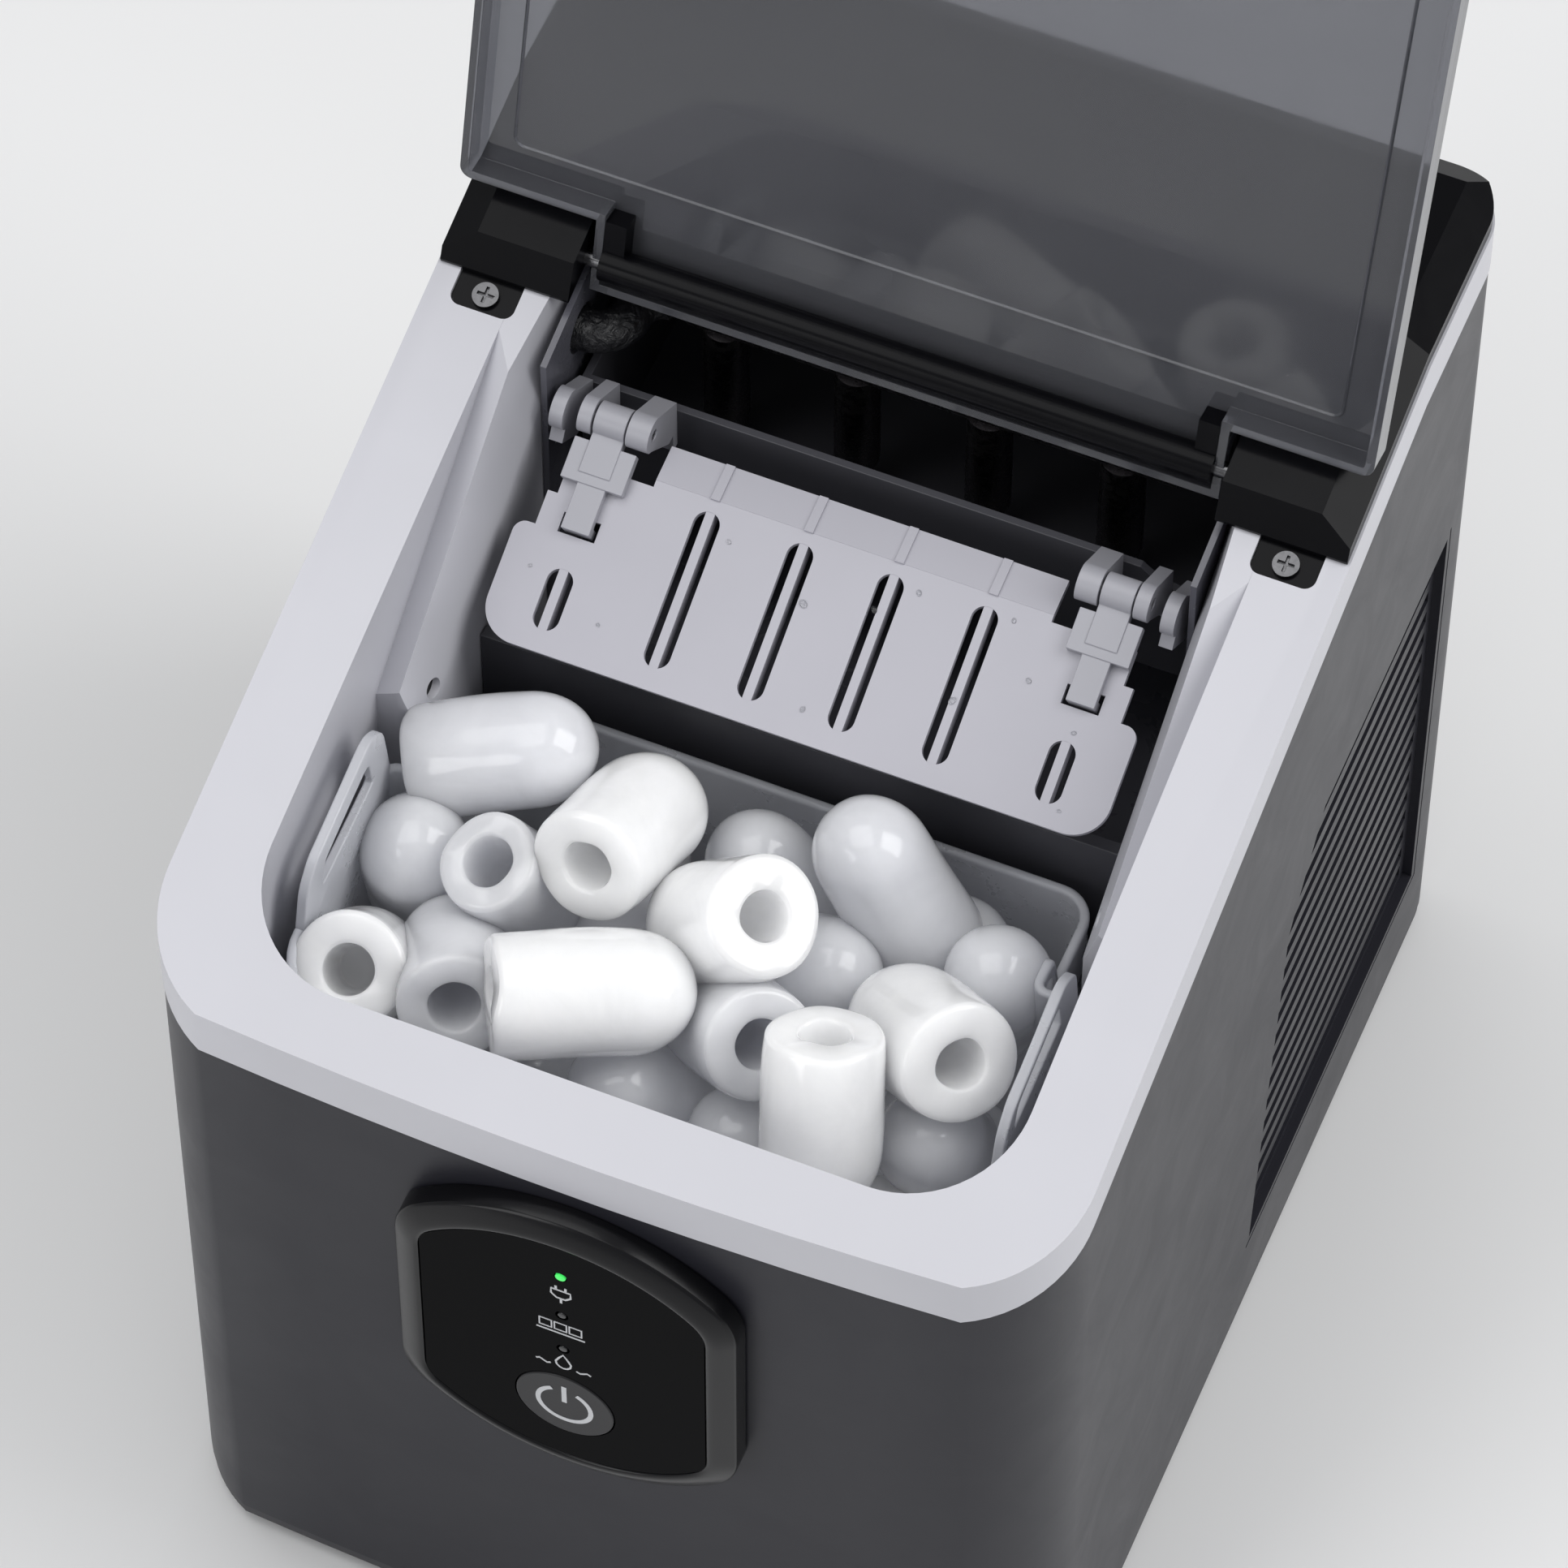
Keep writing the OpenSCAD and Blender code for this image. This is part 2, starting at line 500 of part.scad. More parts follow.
// ---------- lid ----------
module lid2(i) { rrect(hw-0.3-i,1.2+i,190.3-i,32-i,max(3-i,0.6)); translate([-77.5+i,150]) square([155-2*i,60.8-i]); }
module lid() place() color([0.35,0.37,0.40,0.6]) lidspace() difference() {
  translate([0,0,0.6]) linear_extrude(height=lid_t) lid2(0);
  translate([0,0,-1]) linear_extrude(height=1.6+lid_t-lid_wall) lid2(lid_wall);
  cx(-90,-66,lid_v,lid_w,lid_pin_r); cx(66,90,lid_v,lid_w,lid_pin_r);
}
module lid_hinge_bar() place() color(c_black) lidspace() difference() {
  union() {
    cx(-75.2,75.2,lid_v,lid_w,4.2);
    bx([-75.2,lid_v-1.6,lid_w],[75.2,lid_v+1.6,lid_t-lid_wall+0.55]);
    for (s=[-1,1]) bx([s*72.6-2.6,lid_v-13,0.8],[s*72.6+2.6,lid_v+4,lid_t-lid_wall+0.5]);
  }
  cx(-90,-66,lid_v,lid_w,lid_pin_r); cx(66,90,lid_v,lid_w,lid_pin_r);
}
module lid_hinge_pins() place() color(c_steel) lidspace() { cx(-83,-66,lid_v,lid_w,lid_pin_r); cx(66,83,lid_v,lid_w,lid_pin_r); }

// ---------- basket ----------
module bask2(i) {
  rrect(86.2-i,21+i,92-i,20-i,5-i);
  rrect(76.6-i,60,130-i,6,9-i);
}
module ice_basket() place() color([0.85,0.86,0.88,0.7]) difference() {
  intersection() {
    difference() {
      translate([0,0,128]) linear_extrude(height=130) bask2(0);
      translate([0,0,130.2]) linear_extrude(height=130) bask2(1.8);
    }
    union() {
      px(-100,100,[[0,100],[0,218],[100,218],[104,201],[160,201],[160,100]]);
      both() px(80,100,[[38,200],[44,229],[49,234],[82,241],[88,236],[92.5,200]]);
      bx([-80,104,190],[-66,121,211]);
    }
  }
  both() px(80,100,[[50,220],[52,229],[79,235],[81,222]]);
  for (x=[-60:20:60],y=[40:20:120]) cz(x,y,120,135,3);
}

// ---------- water tray ----------
module tray_section(i) polygon([[186+i,251],[186+i,213+i*0.6],[192+i*0.6,209+i],[239,209+i],[251-i,214+i*0.4],[251-i,251]]);
module water_tray() place() color([0.13,0.13,0.15]) difference() {
  union() {
    intersection() {
      translate([-77,0,0]) rotate([90,0,90]) linear_extrude(height=154) difference() { tray_section(0); tray_section(2); }
      px(-100,100,[[180,200],[180,251],[196,251],[240,238],[260,238],[260,200]]);
    }
    both() {
      translate([75,0,0]) rotate([90,0,90]) linear_extrude(height=2) polygon([[186,213],[192,209],[239,209],[251,214],[251,238],[244,262],[228,262],[196,251],[186,251]]);
      cx(75,77.4,tray_y,tray_z,9);
    }
  }
  translate([74,180,262]) rotate([-90,0,0]) cylinder(r=16,h=8.5);
  cx(-90,-70,tray_y,tray_z,tray_pin_r); cx(70,90,tray_y,tray_z,tray_pin_r);
}
pin_y = sh_y+pin_s*cos(shovel_tilt)-pin_n*sin(shovel_tilt);
pin_z = sh_z+pin_s*sin(shovel_tilt)+pin_n*cos(shovel_tilt);
module arm(x0,x1) {
  cx(x0,x1,pin_y,pin_z,4.5);
  px(x0,x1,[[pin_y-2,pin_z-4],[pin_y+2,pin_z+4],[186,254],[186,244],[181,244]]);
}
module tray_arms() place() color(c_grey) difference() {
  both() {
    arm(52.7,58.2); arm(67,70.4);
    cx(73.8,77.2,pin_y,pin_z-1,5);
    px(73.8,77.2,[[pin_y-5,pin_z-8],[pin_y+2,pin_z+3],[186,252],[186,240],[176,243]]);
    bx([52.7,183.6,238],[57,186,244.5]); bx([52.7,183.6,238],[77.2,186,243]);
  }
  cx(-72,-50,pin_y,pin_z,1.6); cx(50,72,pin_y,pin_z,1.6);
}
module tray_drive_shaft() place() color(c_steel) cx(72.5,103,tray_y,tray_z,tray_pin_r);
module tray_pivot_pin() place() color(c_steel) cx(-88,-72.5,tray_y,tray_z,tray_pin_r);
module shovel_pins() place() color(c_steel) both() cx(52.9,70.2,pin_y,pin_z,1.6);

// ---------- shovel ----------
module shovel2() {
  difference() {
    union() {
      rrect(shovel_hw,-24.5,3.6,9,3);
      translate([-72.4,0]) square([144.8,12]);
      translate([-70,10]) square([140,10.5]);
      translate([-49.2,10]) square([98.4,12.5]);
    }
    for (x=[-34.4,-11.2,11.2,34.4]) slot2(x,0,38.4,6.4);
    for (s=[-1,1]) slot2(s*62.1,-11.8,15,6.4);
    for (s=[-1,1]) translate([s*62.3-4.6,3.6]) square([9.2,4.8]);
  }
}
module ice_shovel() place() color(c_grey) shovelspace() {
  translate([0,0,-2]) linear_extrude(height=2) shovel2();
  translate([0,22.5,0]) rotate([-18,0,0]) bx([-49.2,-0.3,-2],[49.2,9.2,0]);
  for (x=[-34.4,-11.2,11.2,34.4]) {
    bx([x-1.1,-20,-4.5],[x+1.1,21,-0.1]);
    translate([0,22.5,0]) rotate([-18,0,0]) bx([x-1.1,-0.5,-2.5],[x+1.1,9.2,0.5]);
  }
  for (s=[-1,1]) bx([s*62.1-1.1,-20,-4.5],[s*62.1+1.1,-4,-0.1]);
}
module shovel_clips() place() color([0.66,0.66,0.69]) shovelspace() both() difference() {
  union() {
    cx(58.7,66.5,pin_s,pin_n,4.1);
    bx([58.7,18,0.05],[66.5,30,3.4]);
    bx([54.8,15.6,0.05],[70.2,25.6,3]);
    bx([58.9,5,0.05],[65.9,16,2.6]);
    bx([58.9,4.4,-3],[65.9,6.6,2.6]);
  }
  cx(50,75,pin_s,pin_n,1.68);
}

base_pan();
rubber_feet();
body_shell();
rear_panel();
rear_panel_screws();
side_vent_grille_right();
side_vent_grille_left();
tub_liner();
tub_insulation();
chamber_liner();
chamber_partition();
rear_top_cover();
cover_screws();
control_bezel();
control_panel();
indicator_lights();
control_board();
power_switch();
power_button();
ice_sensor_emitter();
ice_sensor_receiver();
evaporator_manifold();
evaporator_fingers();
evaporator_bracket();
feed_tube();
suction_tube();
tube_insulation();
compressor_shell();
compressor_base_plate();
compressor_grommets();
compressor_terminal_cover();
discharge_tube();
filter_drier();
hot_gas_valve();
condenser_coil();
condenser_fins();
fan_shroud();
fan_motor();
fan_blade();
water_pump();
pump_hose();
tilt_gearmotor();
main_circuit_board();
drain_port();
drain_plug();
cord_gland();
lid();
lid_hinge_bar();
lid_hinge_pins();
ice_basket();
water_tray();
tray_arms();
tray_drive_shaft();
tray_pivot_pin();
shovel_pins();
ice_shovel();
shovel_clips();
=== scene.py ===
import json
import math
import random

import bmesh
import bpy
import numpy as np
from mathutils import Euler, Matrix, Vector

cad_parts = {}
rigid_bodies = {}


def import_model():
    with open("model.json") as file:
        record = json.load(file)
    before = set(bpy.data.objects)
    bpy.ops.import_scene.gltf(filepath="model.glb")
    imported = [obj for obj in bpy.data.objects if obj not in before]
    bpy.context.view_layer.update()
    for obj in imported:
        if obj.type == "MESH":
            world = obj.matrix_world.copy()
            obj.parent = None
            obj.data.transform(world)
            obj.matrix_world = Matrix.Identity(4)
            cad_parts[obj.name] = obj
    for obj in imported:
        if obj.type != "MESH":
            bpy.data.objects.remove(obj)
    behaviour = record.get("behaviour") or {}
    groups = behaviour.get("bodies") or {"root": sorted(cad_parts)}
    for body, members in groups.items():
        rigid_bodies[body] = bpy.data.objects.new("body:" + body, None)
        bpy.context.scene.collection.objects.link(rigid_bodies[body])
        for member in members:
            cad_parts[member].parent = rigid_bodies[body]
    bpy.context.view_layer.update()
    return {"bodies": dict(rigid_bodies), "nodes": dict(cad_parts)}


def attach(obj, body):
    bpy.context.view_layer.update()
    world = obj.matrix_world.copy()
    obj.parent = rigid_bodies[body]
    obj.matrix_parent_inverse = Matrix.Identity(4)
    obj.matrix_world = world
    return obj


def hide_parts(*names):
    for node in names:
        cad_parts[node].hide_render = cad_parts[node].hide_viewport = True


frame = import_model()
NODES = frame["nodes"]
BODIES = set(frame["bodies"])
YM = 142.25  # the frame's y = 0 is this far behind the front face, in mm


def P(x, y, z):
    """A point in mm, measured from the front face and the worktop, in the frame's metres."""
    return Vector((x / 1000, (y - YM) / 1000, z / 1000))


# ------------------------------------------------------------------ materials
def new_mat(name):
    m = bpy.data.materials.new(name)
    m.use_nodes = True
    nt = m.node_tree
    b = nt.nodes["Principled BSDF"]
    return m, nt, b


def coords(nt, scale=(1, 1, 1), rot=(0, 0, 0)):
    tc = nt.nodes.new("ShaderNodeTexCoord")
    mp = nt.nodes.new("ShaderNodeMapping")
    mp.inputs["Scale"].default_value = scale
    mp.inputs["Rotation"].default_value = rot
    nt.links.new(tc.outputs["Object"], mp.inputs["Vector"])
    return mp.outputs["Vector"]


def noise(nt, vec, scale, detail=4, rough=0.55, dist=0.0):
    n = nt.nodes.new("ShaderNodeTexNoise")
    n.inputs["Scale"].default_value = scale
    n.inputs["Detail"].default_value = detail
    n.inputs["Roughness"].default_value = rough
    n.inputs["Distortion"].default_value = dist
    nt.links.new(vec, n.inputs["Vector"])
    return n.outputs["Fac"]


def ramp(nt, fac, stops):
    r = nt.nodes.new("ShaderNodeValToRGB")
    e = r.color_ramp.elements
    while len(e) < len(stops):
        e.new(0.5)
    for el, (p, c) in zip(e, stops):
        el.position = p
        el.color = (*c, 1) if len(c) == 3 else (c[0], c[0], c[0], 1)
    nt.links.new(fac, r.inputs["Fac"])
    return r.outputs["Color"]


def maprange(nt, fac, lo, hi, a=0.3, b=0.7):
    m = nt.nodes.new("ShaderNodeMapRange")
    m.inputs["From Min"].default_value = a
    m.inputs["From Max"].default_value = b
    m.inputs["To Min"].default_value = lo
    m.inputs["To Max"].default_value = hi
    nt.links.new(fac, m.inputs["Value"])
    return m.outputs["Result"]


def bump(nt, b, *layers):
    """layers are (height socket, distance in m, strength)."""
    last = None
    for h, dist, strength in layers:
        n = nt.nodes.new("ShaderNodeBump")
        n.inputs["Distance"].default_value = dist
        n.inputs["Strength"].default_value = strength
        nt.links.new(h, n.inputs["Height"])
        if last is not None:
            nt.links.new(last, n.inputs["Normal"])
        last = n.outputs["Normal"]
    nt.links.new(last, b.inputs["Normal"])


def plastic(name, col, rough=0.4, var=0.05, grain=1400, grain_h=0.00002, smudge=0.08, coat=0.0, spec=0.5, sss=0.0, ior=1.5):
    """Moulded plastic: fine spark-eroded grain, a slow colour drift and faint handling marks."""
    m, nt, b = new_mat(name)
    v = coords(nt)
    slow = noise(nt, v, 14, 3, 0.5, 0.3)
    c0 = [max(0, x * (1 - var)) for x in col]
    c1 = [min(1, x * (1 + var)) for x in col]
    nt.links.new(ramp(nt, slow, [(0.3, c0), (0.7, c1)]), b.inputs["Base Color"])
    sm = noise(nt, v, 38, 5, 0.65, 0.8)
    nt.links.new(maprange(nt, sm, rough - smudge / 2, rough + smudge / 2), b.inputs["Roughness"])
    fine = noise(nt, v, grain, 2, 0.6)
    wave = noise(nt, v, 25, 2, 0.4)
    bump(nt, b, (wave, 0.0004, 0.12), (fine, grain_h, 0.6))
    b.inputs["Specular IOR Level"].default_value = spec
    b.inputs["IOR"].default_value = ior
    if coat:
        b.inputs["Coat Weight"].default_value = coat
        b.inputs["Coat Roughness"].default_value = 0.12
    if sss:
        b.inputs["Subsurface Weight"].default_value = sss
        b.inputs["Subsurface Radius"].default_value = (1.0, 1.0, 1.05)
        b.inputs["Subsurface Scale"].default_value = 0.002
    return m


def metal(name, col, rough=0.3, stretch=(1, 1, 1), scale=400, var=0.08):
    m, nt, b = new_mat(name)
    v = coords(nt, stretch)
    n = noise(nt, v, scale, 4, 0.6)
    s = noise(nt, coords(nt), 30, 4, 0.6, 0.5)
    nt.links.new(ramp(nt, s, [(0.3, [x * (1 - var) for x in col]), (0.7, [min(1, x * (1 + var)) for x in col])]), b.inputs["Base Color"])
    nt.links.new(maprange(nt, n, rough - 0.08, rough + 0.1), b.inputs["Roughness"])
    bump(nt, b, (n, 0.00002, 0.5))
    b.inputs["Metallic"].default_value = 1.0
    return m


M = {}
M["shell"] = plastic("shell_plastic", (0.0195, 0.0195, 0.0255), 0.36, 0.04, 1800, 0.000015, 0.06, spec=0.5, ior=1.27)
M["dark"] = plastic("dark_plastic", (0.034, 0.034, 0.039), 0.45, 0.05, 1500, 0.00002, 0.08, spec=0.35)
M["black"] = plastic("black_plastic", (0.0025, 0.0025, 0.0034), 0.22, 0.08, 1500, 0.00001, 0.08, spec=0.5, ior=1.20)
M["satin_black"] = plastic("satin_black", (0.0035, 0.0035, 0.0045), 0.22, 0.06, 1800, 0.00001, 0.06, spec=0.5, ior=1.33)
M["button"] = plastic("button_black", (0.018, 0.018, 0.020), 0.32, 0.06, 1800, 0.000012, 0.06, spec=0.5, ior=1.3)
M["rim"] = plastic("rim_plastic", (0.545, 0.545, 0.585), 0.34, 0.02, 2000, 0.00001, 0.06, spec=0.45)
M["shovel"] = plastic("shovel_plastic", (0.42, 0.415, 0.46), 0.34, 0.03, 1600, 0.000012, 0.08)
M["clip"] = plastic("clip_plastic", (0.36, 0.36, 0.395), 0.36, 0.03, 1600, 0.000012, 0.08)
M["chamber"] = plastic("chamber_plastic", (0.105, 0.105, 0.125), 0.26, 0.08, 1300, 0.00002, 0.12)
M["partition"] = plastic("partition_plastic", (0.062, 0.062, 0.072), 0.42, 0.05, 1300, 0.00002, 0.08)
M["white"] = plastic("white_plastic", (0.72, 0.72, 0.71), 0.4)
M["foam"] = plastic("foam", (0.82, 0.81, 0.76), 0.85, 0.05, 500, 0.0004, 0.05)
M["blue"] = plastic("blue_plastic", (0.04, 0.07, 0.24), 0.4)
M["rubber"] = plastic("rubber", (0.014, 0.014, 0.015), 0.62, 0.1, 900, 0.00004, 0.1, spec=0.35)
M["gloss"] = plastic("gloss_black", (0.0012, 0.0012, 0.0016), 0.10, 0.1, 60, 0.000002, 0.03, spec=0.5, ior=1.075)
M["hose"] = plastic("hose", (0.55, 0.58, 0.6), 0.35)
M["pcb"] = plastic("pcb", (0.015, 0.10, 0.04), 0.35, 0.2, 300, 0.00005)
M["copper"] = metal("copper", (0.78, 0.40, 0.26), 0.32)
M["steel"] = metal("steel", (0.60, 0.60, 0.62), 0.26, (1, 1, 1), 900)
# painted shade: very dark plated metal, darkened to stand for the shade inside the ice chamber where the evaporator
# sits
M["plated_painted_shade"] = metal("plated_painted_shade", (0.13, 0.125, 0.13), 0.26)
M["screw"] = metal("screw_steel", (0.12, 0.12, 0.125), 0.22, (1, 1, 1), 900)
M["sheet"] = metal("sheet_steel", (0.5, 0.51, 0.53), 0.35, (1, 40, 1), 60)
M["paint"] = plastic("black_paint", (0.016, 0.016, 0.018), 0.3, 0.05, 700, 0.00003)
M["alu"] = metal("aluminium", (0.72, 0.73, 0.75), 0.3)


def smoked():
    """Tinted clear plastic of the lid."""
    m, nt, b = new_mat("smoked_clear")
    v = coords(nt)
    sm = noise(nt, v, 16, 4, 0.6, 0.6)
    nt.links.new(ramp(nt, sm, [(0.3, (0.205, 0.210, 0.235)), (0.7, (0.225, 0.230, 0.255))]), b.inputs["Base Color"])
    nt.links.new(maprange(nt, noise(nt, v, 45, 5, 0.6, 0.8), 0.02, 0.09), b.inputs["Roughness"])
    b.inputs["Transmission Weight"].default_value = 0.74
    b.inputs["IOR"].default_value = 1.45
    bump(nt, b, (noise(nt, v, 9, 2, 0.4), 0.0006, 0.05))
    return m


def frosted():
    m, nt, b = new_mat("frosted_clear")
    v = coords(nt)
    nt.links.new(ramp(nt, noise(nt, v, 20, 3), [(0.3, (0.70, 0.71, 0.75)), (0.7, (0.76, 0.77, 0.81))]), b.inputs["Base Color"])
    nt.links.new(maprange(nt, noise(nt, v, 60, 4, 0.6), 0.24, 0.36), b.inputs["Roughness"])
    b.inputs["Transmission Weight"].default_value = 0.35
    b.inputs["IOR"].default_value = 1.35
    bump(nt, b, (noise(nt, v, 900, 2), 0.00002, 0.4))
    return m


def ice(name, col, trans, rough=0.12, sss=0.8, painted_glow=0.10):
    m, nt, b = new_mat(name)
    v = coords(nt)
    cloud = noise(nt, v, 55, 5, 0.6, 0.7)
    c1 = [min(1, x * 1.04) for x in col]
    c0 = [x * 0.95 for x in col]
    nt.links.new(ramp(nt, cloud, [(0.3, c0), (0.7, c1)]), b.inputs["Base Color"])
    nt.links.new(maprange(nt, noise(nt, v, 120, 4, 0.6), rough - 0.05, rough + 0.12), b.inputs["Roughness"])
    b.inputs["IOR"].default_value = 1.31
    b.inputs["Subsurface Weight"].default_value = sss
    b.inputs["Subsurface Radius"].default_value = (1.0, 1.0, 1.03)
    b.inputs["Subsurface Scale"].default_value = 0.013
    b.inputs["Transmission Weight"].default_value = trans
    b.inputs["Coat Weight"].default_value = 0.6
    # painted light: a faint emission makes the ice glow, standing in for light scattered through it; ice is no lamp
    b.inputs["Emission Color"].default_value = (0.93, 0.94, 1.0, 1)
    b.inputs["Emission Strength"].default_value = painted_glow
    b.inputs["Coat Roughness"].default_value = 0.06
    bump(nt, b, (noise(nt, v, 70, 3, 0.5, 0.4), 0.0006, 0.25), (noise(nt, v, 420, 3), 0.0001, 0.2))
    return m


def wrapped():
    """Crinkled black foil round the insulated tube."""
    m, nt, b = new_mat("black_wrap")
    v = coords(nt)
    nt.links.new(ramp(nt, noise(nt, v, 60, 3), [(0.3, (0.006, 0.006, 0.007)), (0.7, (0.016, 0.016, 0.018))]), b.inputs["Base Color"])
    nt.links.new(maprange(nt, noise(nt, v, 90, 4, 0.6), 0.12, 0.3), b.inputs["Roughness"])
    bump(nt, b, (noise(nt, v, 260, 4, 0.6, 1.4), 0.0018, 0.9))
    return m


M["wrap"] = wrapped()
M["lid"] = smoked()
M["basket"] = frosted()
# painted light: the last argument of each ice material is a faint emission glow; ice_cloudy gets the strongest
M["ice_w"] = ice("ice_white", (0.90, 0.902, 0.908), 0.0, sss=1.0, painted_glow=0.01)
M["ice_m"] = ice("ice_milky", (0.75, 0.756, 0.785), 0.10, sss=0.95, painted_glow=0.01)
M["ice_c"] = ice("ice_cloudy", (0.80, 0.808, 0.84), 0.22, 0.14, 0.8, 0.025)


def glow(name, col, strength):
    m, nt, b = new_mat(name)
    v = coords(nt)
    nt.links.new(ramp(nt, noise(nt, v, 300, 2), [(0.2, [x * 0.7 for x in col]), (0.8, col)]), b.inputs["Base Color"])
    b.inputs["Roughness"].default_value = 0.25
    b.inputs["Emission Color"].default_value = (*col, 1)
    b.inputs["Emission Strength"].default_value = strength
    return m


M["led_on"] = glow("led_on", (0.05, 0.75, 0.12), 0.55)
M["led_off"] = plastic("led_off", (0.02, 0.02, 0.022), 0.15, 0.1, 300)
M["mark"] = plastic("panel_marks", (0.55, 0.56, 0.58), 0.4, 0.05, 800)

MAT_OF = {
    "base_pan": "dark", "rubber_feet": "rubber", "body_shell": "shell", "rear_panel": "dark", "rear_panel_screws": "steel",
    "side_vent_grille_right": "shell", "side_vent_grille_left": "shell", "tub_liner": "rim", "tub_insulation": "foam",
    "chamber_liner": "chamber", "chamber_partition": "partition", "rear_top_cover": "black", "cover_screws": "screw",
    "control_bezel": "satin_black", "control_panel": "gloss", "indicator_lights": "led_on", "control_board": "pcb",
    "power_switch": "black", "power_button": "button", "ice_sensor_emitter": "gloss", "ice_sensor_receiver": "gloss",
    # painted shade: the copper evaporator manifold and the plated fingers take the shade-darkened metal
    "evaporator_manifold": "plated_painted_shade", "evaporator_fingers": "plated_painted_shade", "evaporator_bracket": "black", "feed_tube": "copper",
    "suction_tube": "copper", "tube_insulation": "wrap", "compressor_shell": "paint", "compressor_base_plate": "sheet",
    "compressor_grommets": "rubber", "compressor_terminal_cover": "black", "discharge_tube": "copper", "filter_drier": "copper",
    "hot_gas_valve": "blue", "condenser_coil": "copper", "condenser_fins": "alu", "fan_shroud": "black", "fan_motor": "paint",
    "fan_blade": "white", "water_pump": "black", "pump_hose": "hose", "tilt_gearmotor": "paint", "main_circuit_board": "pcb",
    "drain_port": "dark", "drain_plug": "rubber", "cord_gland": "black", "lid": "lid", "lid_hinge_bar": "black", "lid_hinge_pins": "screw",
    "ice_basket": "basket", "water_tray": "partition", "tray_arms": "clip", "tray_drive_shaft": "steel", "tray_pivot_pin": "steel",
    "shovel_pins": "steel", "ice_shovel": "shovel", "shovel_clips": "clip",
}
for n, o in NODES.items():
    mat = M[MAT_OF.get(n, "dark")]
    if not o.material_slots:
        o.data.materials.append(mat)
    for s in o.material_slots:
        s.material = mat


# ------------------------------------------------------------------ edges of the CAD pieces
def soften(node, width, segs=2, angle=32, flat=True):
    """Rounds a CAD node's hard edges with modifiers only; its own mesh stays as packed."""
    o = NODES[node]
    me = o.data
    if "custom_normal" in me.attributes:
        me.attributes.remove(me.attributes["custom_normal"])
    for p in me.polygons:
        p.use_smooth = True
    w = o.modifiers.new("weld", "WELD")
    w.merge_threshold = 2e-6
    if flat:
        d = o.modifiers.new("flat", "DECIMATE")
        d.decimate_type = "DISSOLVE"
        d.angle_limit = math.radians(0.4)
    b = o.modifiers.new("edges", "BEVEL")
    b.width = width
    b.segments = segs
    b.limit_method = "ANGLE"
    b.angle_limit = math.radians(angle)
    b.harden_normals = True
    b.use_clamp_overlap = True
    b.miter_outer = "MITER_ARC"
    return o


for n, w, sg in [
    ("tub_liner", 0.0009, 3), ("body_shell", 0.0006, 2), ("rear_top_cover", 0.0009, 3),
    ("control_panel", 0.0005, 2), ("power_button", 0.0004, 3), ("lid", 0.0007, 3), ("lid_hinge_bar", 0.0005, 2),
    ("ice_shovel", 0.0005, 2), ("shovel_clips", 0.0004, 2), ("tray_arms", 0.0005, 2), ("water_tray", 0.0005, 2),
    ("rear_panel", 0.0005, 2),
    ("cover_screws", 0.0002, 2), ("rear_panel_screws", 0.0002, 2), ("chamber_partition", 0.0005, 2),
    ("evaporator_bracket", 0.0005, 2), ("rubber_feet", 0.0008, 2), ("base_pan", 0.0005, 2), ("drain_plug", 0.0006, 2),
    ("cord_gland", 0.0006, 2), ("fan_blade", 0.0003, 2), ("drain_port", 0.0005, 2),
]:
    soften(n, w, sg)


# ------------------------------------------------------------------ mesh helpers
def obj_from(name, verts, faces, mat, body, smooth=35):
    me = bpy.data.meshes.new(name)
    me.from_pydata([tuple(v) for v in verts], [], faces)
    me.validate()
    me.update()
    o = bpy.data.objects.new(name, me)
    bpy.context.scene.collection.objects.link(o)
    me.materials.append(mat)
    for p in me.polygons:
        p.use_smooth = True
    me.set_sharp_from_angle(angle=math.radians(smooth))
    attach(o, body)
    return o


def frame_to(z_axis, origin, spin=0.0):
    z = Vector(z_axis).normalized()
    x = z.orthogonal().normalized()
    y = z.cross(x)
    r = Matrix((x, y, z)).transposed().to_4x4()
    return Matrix.Translation(origin) @ r @ Matrix.Rotation(spin, 4, "Z")


